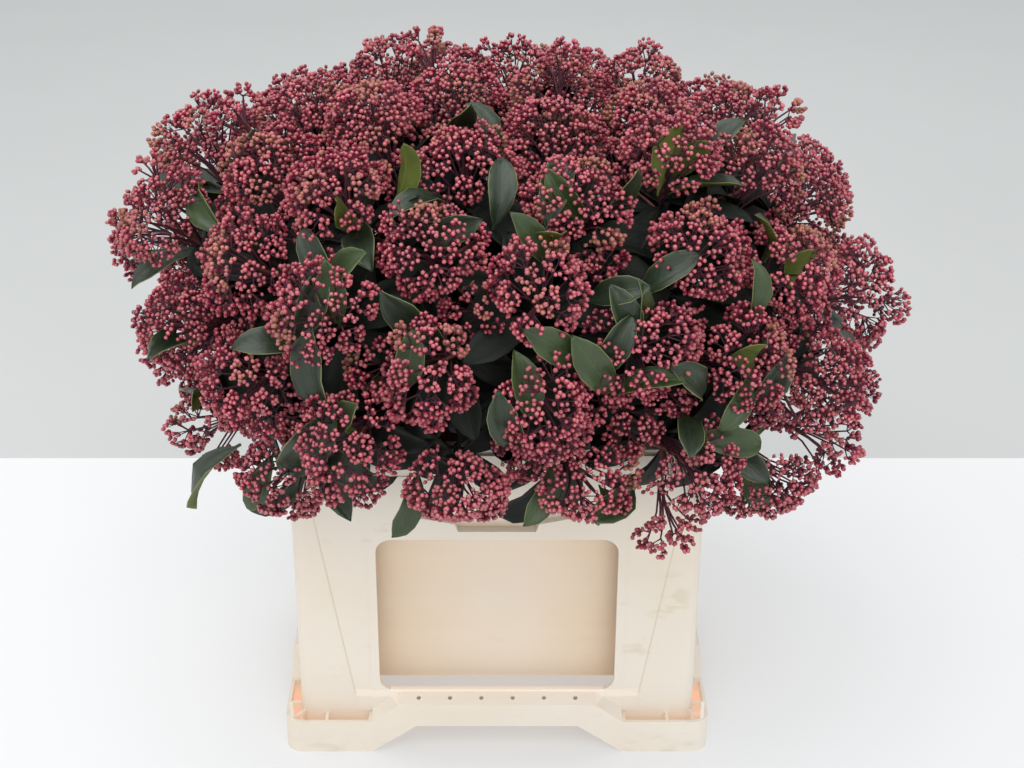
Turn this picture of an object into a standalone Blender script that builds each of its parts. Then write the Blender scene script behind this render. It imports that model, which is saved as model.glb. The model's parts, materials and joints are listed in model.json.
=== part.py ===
"""Skimmia stems with dark red bud heads, standing in a plastic flower container.

Metres, +Z up. The origin is on the ground, under the middle of the container, and -Y is the front.
"""

import math
import random

import bmesh
import bpy
from mathutils import Matrix, Vector
from mathutils.bvhtree import BVHTree

# Container: a sleeve on four corner feet, and a bucket that hangs in it by its flange
SLEEVE_HALF = Vector((0.186, 0.135))
SLEEVE_TOP = 0.320
SLEEVE_WALL = 0.003
SLEEVE_DRAFT = 0.080
CORNER_RADIUS = 0.012

SKIRT_HALF = Vector((0.200, 0.150))
FOOT_TOP = 0.036
FOOT_FLOOR = 0.012
BRIDGE_TOP = 0.056
BRIDGE_UNDERSIDE = 0.031
LEDGE_RISE = 0.007
FOOT_LENGTH = Vector((0.082, 0.062))
SLOPE_RUN = 0.026
ARCH_STEP = 0.042
RIB = 0.0025

FRAME_HALF = 0.118
FRAME_PROUD = 0.002
PANEL_PROUD = 0.0012
PANEL_HALF_LOW = 0.130
PANEL_HALF_HIGH = 0.1745

WINDOW_HALF = 0.110
WINDOW_LOW = 0.0635
WINDOW_HIGH = 0.2325
WINDOW_CORNER = 0.014

GRIP_TOP = 0.284
GRIP_LOW = 0.241
GRIP_DEPTH = 0.009

DRAIN_HOLES = 6
DRAIN_PITCH = 0.0294
DRAIN_RADIUS = 0.0022

BUCKET_LOW_HALF = Vector((0.148, 0.109))
BUCKET_HIGH_HALF = Vector((0.171, 0.121))
BUCKET_LOW = 0.058
BUCKET_CORNER = 0.024
BUCKET_WALL = 0.0025
FLANGE_OUT = 0.011
FLANGE_THICK = 0.004

# Crown: head centres lie on this dome, cut off at its droop angle
CROWN_CENTRE = Vector((0.0, 0.0, 0.410))
CROWN_HALF = Vector((0.300, 0.238, 0.166))
CROWN_DROOP = math.radians(119)
CROWN_FULLNESS = 0.84
FRONT_LIFT = 0.12
FRONT_LIFT_WIDTH = 0.40
HEAD_COUNT = 72
HEAD_SPACING = 0.096
STEM_COUNT = 23
STEM_SPACING = 0.170
CROWN_SEED = 7
HEAD_RADIUS = 0.046
HEAD_JITTER = 0.010

# Bumps of the outline: azimuth from +X, angle from the top, width of the bump, reach
CROWN_LOBES = (
    (math.radians(118), math.radians(46), 0.34, 0.016),
    (math.radians(62), math.radians(44), 0.32, 0.010),
    (math.radians(92), math.radians(46), 0.14, -0.016),
    (math.radians(28), math.radians(62), 0.40, 0.014),
    (math.radians(168), math.radians(74), 0.36, 0.022),
    (math.radians(184), math.radians(112), 0.34, -0.030),
    (math.radians(-28), math.radians(112), 0.30, 0.022),
    (math.radians(-146), math.radians(116), 0.28, 0.012),
)

# Stems and leaves
STEM_FOOT_RADIUS = 0.0048
STEM_TIP_RADIUS = 0.0034
STEM_POINTS = 7
STEM_FLOOR_REACH = Vector((0.120, 0.082))
STEM_NECK_REACH = Vector((0.140, 0.090))
STEM_NECK_HEIGHT = 0.340
FORK_SHARE = 0.62
FORK_LENGTH = 0.010
TWIG_RADIUS = 0.0026
TWIG_STEP = 0.0011

LEAF_LENGTH = 0.084
LEAF_WIDTH = 0.031
LEAF_THICKNESS = 0.0022
LEAF_TRIES = 12

# Rings of leaves below a head: how many, and the least and the most lean from the head's axis
LEAF_RINGS = (
    (1, math.radians(36), math.radians(56)),
    (2, math.radians(62), math.radians(112)),
)

# Distances that keep neighbours apart
CLEARANCE = 0.0003
HEAD_GAP = 0.0006
RIM_GAP = 0.006
RIM_ZONE_TOP = 0.376
GOLDEN_ANGLE = math.pi * (3 - math.sqrt(5))

PALETTE = {
    "cream_plastic": ((0.83, 0.75, 0.63), 0.42),
    "stem_bark": ((0.17, 0.07, 0.05), 0.60),
    "bud_red": ((0.33, 0.05, 0.08), 0.45),
    "leaf_green": ((0.05, 0.12, 0.05), 0.35),
}


def clear_scene():
    for obj in list(bpy.data.objects):
        bpy.data.objects.remove(obj, do_unlink=True)


def new_collection(name):
    collection = bpy.data.collections.new(name)
    bpy.context.scene.collection.children.link(collection)
    return collection


def finish_material(name):
    colour, roughness = PALETTE[name]
    material = bpy.data.materials.get(name) or bpy.data.materials.new(name)
    material.use_nodes = True
    shader = material.node_tree.nodes["Principled BSDF"]
    shader.inputs["Base Color"].default_value = (*colour, 1)
    shader.inputs["Roughness"].default_value = roughness
    shader.inputs["Metallic"].default_value = 0
    material.diffuse_color = (*colour, 1)
    return material


def mesh_object(name, shape, collection, material):
    """Makes an object from a bmesh and frees the bmesh."""
    bmesh.ops.recalc_face_normals(shape, faces=shape.faces)
    mesh = bpy.data.meshes.new(name)
    shape.to_mesh(mesh)
    shape.free()
    mesh.materials.append(finish_material(material))
    obj = bpy.data.objects.new(name, mesh)
    collection.objects.link(obj)
    return obj


def evaluated_mesh(obj):
    bpy.context.view_layer.update()
    return bpy.data.meshes.new_from_object(obj.evaluated_get(bpy.context.evaluated_depsgraph_get()))


def apply_modifiers(obj):
    mesh = evaluated_mesh(obj)
    obj.modifiers.clear()
    obj.data = mesh


def join(obj, others, operation="UNION", solver="EXACT"):
    """Adds a collection of solids to obj, or cuts them from it, and removes them."""
    pool = bpy.data.collections.new("pool")
    for other in others:
        pool.objects.link(other)
    boolean = obj.modifiers.new("join", "BOOLEAN")
    boolean.operation = operation
    boolean.solver = solver
    boolean.operand_type = "COLLECTION"
    boolean.collection = pool
    if solver == "EXACT":
        boolean.material_mode = "TRANSFER"
    apply_modifiers(obj)
    for other in others:
        bpy.data.objects.remove(other, do_unlink=True)
    bpy.data.collections.remove(pool)


def keep_largest_shell(obj):
    """Drops loose scraps and fills hollows that a union has sealed."""
    shape = bmesh.new()
    shape.from_mesh(obj.data)
    unseen = set(shape.verts)
    shells = []
    while unseen:
        shell = set()
        front = [unseen.pop()]
        while front:
            vert = front.pop()
            shell.add(vert)
            near = {edge.other_vert(vert) for edge in vert.link_edges} & unseen
            unseen -= near
            front.extend(near)
        shells.append(shell)
    largest = max(shells, key=len)
    bmesh.ops.delete(shape, geom=[vert for vert in shape.verts if vert not in largest], context="VERTS")
    shape.to_mesh(obj.data)
    shape.free()


def box(name, low, high, collection, material="cream_plastic"):
    shape = bmesh.new()
    bmesh.ops.create_cube(shape, size=1)
    low, high = Vector(low), Vector(high)
    bmesh.ops.scale(shape, vec=high - low, verts=shape.verts)
    bmesh.ops.translate(shape, vec=(low + high) / 2, verts=shape.verts)
    return mesh_object(name, shape, collection, material)


def upright_box(low_half, high_half, low, high, corner, segments):
    """A box that widens upwards, with its four upright edges rounded."""
    shape = bmesh.new()
    bmesh.ops.create_cube(shape, size=2)
    for vert in shape.verts:
        half = high_half if vert.co.z > 0 else low_half
        vert.co.x *= half.x
        vert.co.y *= half.y
        vert.co.z = high if vert.co.z > 0 else low
    upright = [edge for edge in shape.edges if abs(edge.verts[0].co.z - edge.verts[1].co.z) > 0.5 * (high - low)]
    bmesh.ops.bevel(
        shape, geom=upright, offset=corner, segments=segments, profile=0.5, affect="EDGES", clamp_overlap=False
    )
    return shape


def ring(name, half, low, high, wall, corner, collection):
    """A rectangular tube with rounded corners, open at both ends."""
    obj = mesh_object(name, upright_box(half, half, low, high, corner, 5), collection, "cream_plastic")
    inner = half - Vector((wall, wall))
    hole = upright_box(inner, inner, low - 0.01, high + 0.01, max(corner - wall, 0.003), 5)
    join(obj, [mesh_object("hole", hole, collection, "cream_plastic")], "DIFFERENCE")
    return obj


def slab(name, outline, near, far, collection, rise=0.0):
    """A flat outline in X and Z, extruded along Y from near to far, and raised by rise at its far side."""
    curve = bpy.data.curves.new(name, "CURVE")
    curve.dimensions = "2D"
    curve.fill_mode = "BOTH"
    curve.extrude = abs(far - near) / 2
    spline = curve.splines.new("POLY")
    spline.points.add(len(outline) - 1)
    for point, (x, z) in zip(spline.points, outline):
        point.co = (x, z, 0, 1)
    spline.use_cyclic_u = True
    guide = bpy.data.objects.new(name, curve)
    collection.objects.link(guide)
    guide.matrix_world = Matrix.Translation((0, (near + far) / 2, 0)) @ Matrix.Rotation(math.pi / 2, 4, "X")
    mesh = evaluated_mesh(guide)
    place = guide.matrix_world.copy()
    bpy.data.objects.remove(guide)
    shape = bmesh.new()
    shape.from_mesh(mesh)
    shape.transform(place)
    bmesh.ops.remove_doubles(shape, verts=shape.verts, dist=1e-6)
    for vert in shape.verts:
        vert.co.z += rise * (vert.co.y - near) / (far - near)
    return mesh_object(name, shape, collection, "cream_plastic")


def rounded_outline(half, low, high, corner, steps=5):
    """A rectangle's outline with round corners, centred on X = 0."""
    outline = []
    for sign_x, sign_z, start in ((1, 1, 0), (-1, 1, 90), (-1, -1, 180), (1, -1, 270)):
        centre_x = sign_x * (half - corner)
        centre_z = high - corner if sign_z > 0 else low + corner
        for step in range(steps + 1):
            angle = math.radians(start + 90 * step / steps)
            outline.append((centre_x + corner * math.cos(angle), centre_z + corner * math.sin(angle)))
    return outline


def turned_copies(obj, collection, turns):
    """Copies of obj turned about the upright axis by the given angles in degrees."""
    copies = []
    for turn in turns:
        copy = obj.copy()
        copy.data = obj.data.copy()
        copy.data.transform(Matrix.Rotation(math.radians(turn), 4, "Z"))
        collection.objects.link(copy)
        copies.append(copy)
    return copies


def bridge_outline(half_side, foot):
    """Underside and top of the raised band between two feet, as two lists of (across, up)."""
    inner = half_side - foot
    under = [(-inner, 0), (-inner + ARCH_STEP, BRIDGE_UNDERSIDE), (inner - ARCH_STEP, BRIDGE_UNDERSIDE), (inner, 0)]
    top = [
        (-inner, FOOT_TOP),
        (-inner + SLOPE_RUN, BRIDGE_TOP),
        (inner - SLOPE_RUN, BRIDGE_TOP),
        (inner, FOOT_TOP),
    ]
    return under, top


def skirt_side(side, collection):
    """Cutters and plates for one side of the skirt; side 0 is along X at the front, 1 along Y at the right."""
    half, depth = (SKIRT_HALF.x, SKIRT_HALF.y) if side == 0 else (SKIRT_HALF.y, SKIRT_HALF.x)
    wall = SLEEVE_HALF.y if side == 0 else SLEEVE_HALF.x
    foot = FOOT_LENGTH.x if side == 0 else FOOT_LENGTH.y
    inner = half - foot
    under, top = bridge_outline(half, foot)
    reach = 0.02
    arch = [(-inner, -reach), *under, (inner, -reach)]
    above = [(-half - reach, FOOT_TOP), *top, (half + reach, FOOT_TOP)]
    above += [(half + reach, BRIDGE_TOP + reach), (-half - reach, BRIDGE_TOP + reach)]
    gap_near, gap_far = -depth - reach, -depth + SLEEVE_WALL + 0.002
    cutters = [
        slab("arch_cut", arch, gap_near, -wall + 2 * SLEEVE_WALL, collection),
        slab("top_cut", above, gap_near, gap_far, collection),
    ]
    ledge = [*top, *[(x, z - SLEEVE_WALL) for x, z in reversed(top)]]
    plates = [slab("ledge", ledge, -depth + 0.0005, -wall + 0.001, collection, LEDGE_RISE)]
    for sign in (-1, 1):
        web = sign * (inner + SLEEVE_WALL / 2)
        mid = sign * (inner + foot * 0.52)
        plates.append(
            box(
                "web",
                (web - SLEEVE_WALL / 2, -depth + 0.001, FOOT_FLOOR - 0.001),
                (web + SLEEVE_WALL / 2, -wall + 0.001, FOOT_TOP + 0.001),
                collection,
            )
        )
        plates.append(
            box(
                "rib",
                (mid - RIB / 2, -depth + 0.001, FOOT_FLOOR - 0.001),
                (mid + RIB / 2, -wall + 0.001, FOOT_TOP - 0.001),
                collection,
            )
        )
    return cutters, plates


def make_skirt(collection):
    """The four feet with their open pockets, and the raised bands between them."""
    skirt = ring("skirt", SKIRT_HALF, 0, BRIDGE_TOP, SLEEVE_WALL, CORNER_RADIUS + 0.003, collection)
    front_cutters, front_plates = skirt_side(0, collection)
    side_cutters, side_plates = skirt_side(1, collection)
    shallow = [front_cutters[1], side_cutters[1]]
    arches = [front_cutters[0], side_cutters[0]]
    turns = {0: (0, 180), 1: (90, 270)}
    tops = []
    for index, cutter in enumerate(shallow):
        tops += turned_copies(cutter, collection, turns[index])
        bpy.data.objects.remove(cutter)
    join(skirt, tops, "DIFFERENCE")
    floor = ring("floor", SKIRT_HALF - Vector((0.001, 0.001)), FOOT_FLOOR - 0.003, FOOT_FLOOR, 0.019, 0.014, collection)
    plates = [floor]
    for index, group in enumerate((front_plates, side_plates)):
        for plate in group:
            plates += turned_copies(plate, collection, turns[index])
            bpy.data.objects.remove(plate)
    for sign_x in (-1, 1):
        for sign_y in (-1, 1):
            plates.append(corner_rib(sign_x, sign_y, collection))
    arch_cuts = []
    for index, cutter in enumerate(arches):
        arch_cuts += turned_copies(cutter, collection, turns[index])
        bpy.data.objects.remove(cutter)
    return skirt, plates, arch_cuts


def corner_rib(sign_x, sign_y, collection):
    """The slanting rib that crosses the corner of a pocket."""
    inner = Vector((SLEEVE_HALF.x - 0.004, SLEEVE_HALF.y - 0.004, 0))
    outer = Vector((SKIRT_HALF.x - 0.0045, SKIRT_HALF.y - 0.0045, 0))
    run = outer - inner
    rib = box("corner_rib", (0, -RIB / 2, FOOT_FLOOR - 0.001), (run.length, RIB / 2, FOOT_TOP - 0.001), collection)
    turn = Matrix.Translation(inner) @ Matrix.Rotation(math.atan2(run.y, run.x), 4, "Z")
    rib.data.transform(Matrix.Diagonal((sign_x, sign_y, 1, 1)) @ turn)
    if sign_x * sign_y < 0:
        rib.data.flip_normals()
    return rib


def grip_outline(grow=0.0):
    """The hand grip under the rim: wide above, with a deeper notch in its middle."""
    return [
        (-0.082 - grow, GRIP_TOP + grow),
        (-0.082 - grow, 0.258 - grow),
        (-0.038 - grow, 0.249 - grow),
        (-0.035 - grow, GRIP_LOW - grow),
        (0.035 + grow, GRIP_LOW - grow),
        (0.038 + grow, 0.249 - grow),
        (0.082 + grow, 0.258 - grow),
        (0.082 + grow, GRIP_TOP + grow),
    ]


def grip_block(name, grow, back, collection):
    """A block behind the grip's outline that deepens from its top to its foot."""
    front = -SLEEVE_HALF.y - 0.010
    block = slab(name, grip_outline(grow), front, -SLEEVE_HALF.y + 0.001, collection)
    for vert in block.data.vertices:
        if vert.co.y > -SLEEVE_HALF.y - 0.005:
            share = (GRIP_TOP - vert.co.z) / (GRIP_TOP - GRIP_LOW)
            vert.co.y = -SLEEVE_HALF.y - FRAME_PROUD + max(share, 0) * GRIP_DEPTH + back
    return block


def front_pieces(collection):
    """What stands proud of the front wall, and what is cut from it."""
    wall = -SLEEVE_HALF.y
    low, high = FOOT_TOP + 0.002, SLEEVE_TOP - 0.002
    panel_outline = [(-PANEL_HALF_LOW, low), (PANEL_HALF_LOW, low), (PANEL_HALF_HIGH, high), (-PANEL_HALF_HIGH, high)]
    frame_outline = [(-FRAME_HALF, low), (FRAME_HALF, low), (FRAME_HALF, high - 0.02), (-FRAME_HALF, high - 0.02)]
    grip_back = grip_block("grip_back", 0.0028, 0.0028, collection)
    for vert in grip_back.data.vertices:
        vert.co.y = max(vert.co.y, wall - FRAME_PROUD)
    proud = [
        slab("panel", panel_outline, wall - PANEL_PROUD, wall + 0.001, collection),
        slab("window_frame", frame_outline, wall - FRAME_PROUD, wall + 0.0011, collection),
        grip_back,
    ]
    window = rounded_outline(WINDOW_HALF, WINDOW_LOW, WINDOW_HIGH, WINDOW_CORNER)
    cuts = [
        slab("window_cut", window, wall - 0.02, wall + 0.02, collection),
        grip_block("grip_cut", 0.0, 0.0, collection),
    ]
    for hole in range(DRAIN_HOLES):
        across = (hole - (DRAIN_HOLES - 1) / 2) * DRAIN_PITCH
        centre = Vector((across, wall - 0.0075, BRIDGE_TOP + 0.0025))
        normal = Vector((0, -LEDGE_RISE, SKIRT_HALF.y - SLEEVE_HALF.y)).normalized() * 0.008
        cuts.append(drain_cutter(centre - normal, centre + normal, collection))
    return proud, cuts


def drain_cutter(start, end, collection):
    along = end - start
    shape = bmesh.new()
    bmesh.ops.create_cone(
        shape, cap_ends=True, segments=8, radius1=DRAIN_RADIUS, radius2=DRAIN_RADIUS, depth=along.length
    )
    shape.transform(Matrix.Translation((start + end) / 2) @ along.to_track_quat("Z", "X").to_matrix().to_4x4())
    return mesh_object("drain", shape, collection, "cream_plastic")


def side_pieces(collection):
    """The raised panel on the short side."""
    wall = -SLEEVE_HALF.x
    low, high = FOOT_TOP + 0.002, SLEEVE_TOP - 0.002
    taper = PANEL_HALF_HIGH - PANEL_HALF_LOW
    half = SLEEVE_HALF.y - CORNER_RADIUS - taper
    outline = [(-half, low), (half, low), (half + taper, high), (-half - taper, high)]
    return [slab("side_panel", outline, wall - PANEL_PROUD, wall + 0.001, collection)]


def taper(obj):
    """The draft of the moulding: the container narrows towards its top."""
    for vert in obj.data.vertices:
        vert.co.x *= 1 - SLEEVE_DRAFT * vert.co.z
        vert.co.y *= 1 - SLEEVE_DRAFT * vert.co.z


def make_sleeve(collection):
    sleeve = ring("sleeve", SLEEVE_HALF, FOOT_FLOOR - 0.002, SLEEVE_TOP, SLEEVE_WALL, CORNER_RADIUS, collection)
    rim = ring("rim", SLEEVE_HALF + Vector((0.004, 0.004)), SLEEVE_TOP - 0.012, SLEEVE_TOP, 0.005, 0.016, collection)
    skirt, plates, arch_cuts = make_skirt(collection)
    proud, cuts = front_pieces(collection)
    side = side_pieces(collection)
    pieces = [rim, skirt, *plates]
    for piece in proud:
        pieces += turned_copies(piece, collection, (0, 180))
        bpy.data.objects.remove(piece)
    for piece in side:
        pieces += turned_copies(piece, collection, (90, 270))
        bpy.data.objects.remove(piece)
    cutters = list(arch_cuts)
    for cutter in cuts:
        cutters += turned_copies(cutter, collection, (0, 180))
        bpy.data.objects.remove(cutter)
    join(sleeve, pieces, "UNION", "MANIFOLD")
    join(sleeve, cutters, "DIFFERENCE", "MANIFOLD")
    keep_largest_shell(sleeve)
    taper(sleeve)
    return sleeve


def make_bucket(collection):
    """The bucket's flange lies on the sleeve's rim."""
    top = SLEEVE_TOP + CLEARANCE + FLANGE_THICK
    shape = upright_box(BUCKET_LOW_HALF, BUCKET_HIGH_HALF, BUCKET_LOW, top, BUCKET_CORNER, 5)
    lid = [face for face in shape.faces if face.normal.z > 0.9]
    bmesh.ops.delete(shape, geom=lid, context="FACES_ONLY")
    bucket = mesh_object("bucket", shape, collection, "cream_plastic")
    solidify = bucket.modifiers.new("wall", "SOLIDIFY")
    solidify.thickness = BUCKET_WALL
    solidify.offset = -1
    solidify.use_even_offset = True
    apply_modifiers(bucket)
    outer = BUCKET_HIGH_HALF + Vector((FLANGE_OUT, FLANGE_OUT))
    flange = ring("flange", outer, top - FLANGE_THICK, top, FLANGE_OUT + 0.0015, BUCKET_CORNER + 0.004, collection)
    join(bucket, [flange])
    keep_largest_shell(bucket)
    return bucket


class Space:
    """The solids placed so far, each with its owner, to keep new ones from running into them."""

    def __init__(self):
        self.placed = []

    def add(self, obj, owner):
        shape = bmesh.new()
        shape.from_mesh(obj.data)
        self.placed.append((BVHTree.FromBMesh(shape), *ball_round(shape), owner))
        shape.free()

    def is_free(self, shape, owner):
        """True where a shape meets nothing but what its owner has placed."""
        tree = BVHTree.FromBMesh(shape)
        middle, reach = ball_round(shape)
        for other_tree, other_middle, other_reach, other_owner in self.placed:
            if other_owner == owner or (middle - other_middle).length > reach + other_reach:
                continue
            if tree.overlap(other_tree):
                return False
        return True


def ball_round(shape):
    """The middle of a shape and the distance of its farthest point."""
    middle = sum((vert.co for vert in shape.verts), Vector()) / len(shape.verts)
    return middle, max((vert.co - middle).length for vert in shape.verts)


def crown_point(direction, reach=0.0):
    """The point of the crown's dome in this direction, moved outwards by reach and by the lobes."""
    azimuth = math.atan2(direction.y, direction.x)
    drop = math.acos(max(-1, min(1, direction.z)))
    for lobe_azimuth, lobe_drop, width, height in CROWN_LOBES:
        turn = math.sin(drop) * math.remainder(azimuth - lobe_azimuth, 2 * math.pi)
        reach += height * math.exp(-(turn**2 + (drop - lobe_drop) ** 2) / (2 * width**2))
    from_front = math.remainder(azimuth + math.pi / 2, 2 * math.pi)
    drop *= 1 - FRONT_LIFT * math.exp(-((from_front / FRONT_LIFT_WIDTH) ** 2) / 2)
    out = math.sin(drop) ** CROWN_FULLNESS
    up = math.copysign(abs(math.cos(drop)) ** CROWN_FULLNESS, math.cos(drop))
    on_dome = Vector((
        CROWN_HALF.x * out * math.cos(azimuth),
        CROWN_HALF.y * out * math.sin(azimuth),
        CROWN_HALF.z * up,
    ))
    return past_the_rim(CROWN_CENTRE + on_dome + direction * reach)


def past_the_rim(point):
    """Moves a low head outwards, so that it hangs beside the container's rim and not into it."""
    if point.z > RIM_ZONE_TOP:
        return point
    beyond = math.hypot(max(abs(point.x) - SLEEVE_HALF.x, 0), max(abs(point.y) - SLEEVE_HALF.y, 0))
    missing = max(HEAD_RADIUS + RIM_GAP - beyond, 0)
    return point + Vector((point.x, point.y, 0)).normalized() * missing


def spread(count, turn, spacing, rounds=60):
    """Directions spread evenly over the crown: a spiral first, then neighbours push each other apart."""
    lowest = math.cos(CROWN_DROOP)
    directions = []
    for index in range(count):
        height = 1 - (index + 0.5) / count * (1 - lowest)
        azimuth = index * GOLDEN_ANGLE + turn
        flat = math.sqrt(1 - height**2)
        directions.append(Vector((flat * math.cos(azimuth), flat * math.sin(azimuth), height)))
    for _ in range(rounds):
        points = [crown_point(direction) for direction in directions]
        for index, point in enumerate(points):
            push = Vector()
            for other in points:
                gap = point - other
                if 0 < gap.length < spacing:
                    push += gap.normalized() * (spacing - gap.length) * 0.25
            moved = Vector(m / half for m, half in zip(push, CROWN_HALF)) + directions[index]
            moved.normalize()
            if moved.z < lowest:
                flat = Vector((moved.x, moved.y)).normalized() * math.sin(CROWN_DROOP)
                moved = Vector((flat.x, flat.y, lowest))
            directions[index] = moved
    return directions


class Head:
    """One flower head: its middle, its axis and its radius."""

    def __init__(self, direction, chance):
        self.centre = crown_point(direction, chance.uniform(-HEAD_JITTER, HEAD_JITTER))
        slope = Vector(d / half for d, half in zip(direction, CROWN_HALF)).normalized()
        tilt = Vector(chance.uniform(-0.22, 0.22) for _ in range(3))
        facing = slope + tilt + Vector((0, 0, 0.15))
        facing.z = max(facing.z, -0.30)
        self.axis = facing.normalized()
        self.radius = HEAD_RADIUS * chance.uniform(0.90, 1.06)

    def below(self, share):
        """The point on the stalk that is this share of the radius below the middle."""
        return self.centre - self.axis * self.radius * share


class Stem:
    """A cut stem, and the heads that it carries."""

    def __init__(self, direction):
        self.direction = direction
        self.heads = []

    def settle(self):
        """Works out the fork under the heads and the stem's line up to it."""
        middle = sum((head.centre for head in self.heads), Vector()) / len(self.heads)
        fork = CROWN_CENTRE + (middle - CROWN_CENTRE) * FORK_SHARE
        spread_out = math.acos(max(-1, min(1, self.direction.z))) / CROWN_DROOP
        heading = Vector((self.direction.x, self.direction.y)).normalized() * spread_out
        floor = BUCKET_LOW + BUCKET_WALL + CLEARANCE
        foot = Vector((heading.x * STEM_FLOOR_REACH.x, heading.y * STEM_FLOOR_REACH.y, floor))
        neck = Vector((heading.x * STEM_NECK_REACH.x, heading.y * STEM_NECK_REACH.y, STEM_NECK_HEIGHT))
        self.line = stem_line(foot, neck, fork, (middle - fork).normalized())
        self.leaving = (self.line[-1] - self.line[-2]).normalized()
        self.fork = self.line[-1] + self.leaving * FORK_LENGTH


def stem_line(foot, neck, fork, leaving):
    """Points along a smooth line that rises from the foot, passes near the neck and arrives at the fork."""
    rise = Vector((0, 0, 1))
    lower = foot + rise * (neck.z - foot.z) * 0.7 + (neck - foot) * 0.25
    upper = fork - leaving * (fork - neck).length * 0.75 + rise * 0.02
    points = []
    for index in range(STEM_POINTS):
        t = index / (STEM_POINTS - 1)
        s = 1 - t
        points.append(foot * s**3 + lower * 3 * s * s * t + upper * 3 * s * t * t + fork * t**3)
    return points


def plan_crown():
    """Places the heads, gives each to its nearest stem and sizes it to the room that it has."""
    chance = random.Random(CROWN_SEED)
    heads = [Head(direction, chance) for direction in spread(HEAD_COUNT, 0.4, HEAD_SPACING)]
    stems = [Stem(direction) for direction in spread(STEM_COUNT, 1.1, STEM_SPACING)]
    for head in heads:
        home = min(stems, key=lambda stem: (crown_point(stem.direction) - head.centre).length)
        home.heads.append(head)
    for head in heads:
        nearest = min((other.centre - head.centre).length for other in heads if other is not head)
        head.radius = min(head.radius, nearest / 2 - HEAD_GAP)
    stems = [stem for stem in stems if stem.heads]
    for stem in stems:
        stem.settle()
    return stems


def tube(name, line, start_radius, end_radius, sides, collection):
    """A tapering tube along a line of points, closed at both ends."""
    section = poly_curve("section", [(math.cos(a), math.sin(a), 0) for a in even_angles(sides)], collection)
    section.data.splines[0].use_cyclic_u = True
    guide = poly_curve(name, line, collection)
    guide.data.bevel_mode = "OBJECT"
    guide.data.bevel_object = section
    guide.data.use_fill_caps = True
    for index, point in enumerate(guide.data.splines[0].points):
        point.radius = start_radius + (end_radius - start_radius) * index / (len(line) - 1)
    mesh = evaluated_mesh(guide)
    bpy.data.objects.remove(guide)
    bpy.data.objects.remove(section)
    shape = bmesh.new()
    shape.from_mesh(mesh)
    bmesh.ops.remove_doubles(shape, verts=shape.verts, dist=1e-6)
    return mesh_object(name, shape, collection, "stem_bark")


def poly_curve(name, line, collection):
    curve = bpy.data.curves.new(name, "CURVE")
    curve.dimensions = "3D"
    spline = curve.splines.new("POLY")
    spline.points.add(len(line) - 1)
    for point, place in zip(spline.points, line):
        point.co = (*place, 1)
    obj = bpy.data.objects.new(name, curve)
    collection.objects.link(obj)
    return obj


def even_angles(count):
    return [2 * math.pi * index / count for index in range(count)]


def make_stem(name, stem, collection):
    """The stem stops just short of its fork."""
    line = [*stem.line[:-1], stem.line[-1] - stem.leaving * CLEARANCE]
    return tube(name, line, STEM_FOOT_RADIUS, STEM_TIP_RADIUS, 6, collection)


def make_dome(head, chance, collection):
    """The knobbly dome of a head's bud clusters, drawn in to its stalk below."""
    shape = bmesh.new()
    bmesh.ops.create_icosphere(shape, subdivisions=2, radius=1)
    underside = [vert for vert in shape.verts if vert.co.z < -0.4]
    bmesh.ops.pointmerge(shape, verts=underside, merge_co=(0, 0, -1))
    for vert in shape.verts:
        knob = chance.uniform(0.84, 1.0)
        below = max(0, -vert.co.z)
        vert.co.x *= knob * (1 - 0.35 * below)
        vert.co.y *= knob * (1 - 0.35 * below)
        vert.co.z *= knob * (0.94 - 0.24 * below)
    bmesh.ops.scale(shape, vec=(head.radius,) * 3, verts=shape.verts)
    turn = head.axis.to_track_quat("Z", "X").to_matrix().to_4x4()
    shape.transform(Matrix.Translation(head.centre) @ turn)
    return mesh_object("dome", shape, collection, "bud_red")


def leaf_shape(place):
    """A blade of eight faces whose unit shape runs along +Y from its root."""
    shape = bmesh.new()
    bmesh.ops.create_uvsphere(shape, u_segments=4, v_segments=2, radius=0.5)
    shape.transform(place @ Matrix.Translation((0, 0.5, 0)))
    return shape


def leaf_place(root, heading, face_up, length):
    """The matrix that lays a unit leaf along its heading, upper side towards face_up."""
    across = heading.cross(face_up).normalized()
    upper = across.cross(heading).normalized()
    turn = Matrix((across, heading, upper)).transposed().to_4x4()
    size = Matrix.Diagonal((LEAF_WIDTH * length / LEAF_LENGTH, length, LEAF_THICKNESS, 1))
    return Matrix.Translation(root) @ turn @ size


def leaf_fits(place, stem, space):
    """A leaf keeps off everything of other stems and, away from its root, off its own stem's pieces as well."""
    roomy = leaf_shape(place @ Matrix.Diagonal((1.12, 1.02, 2.4, 1)))
    outer = leaf_shape(place @ Matrix.Translation((0, 0.10, 0)) @ Matrix.Diagonal((1.0, 0.91, 1.2, 1)))
    fits = space.is_free(roomy, stem) and space.is_free(outer, None)
    roomy.free()
    outer.free()
    return fits


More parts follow.
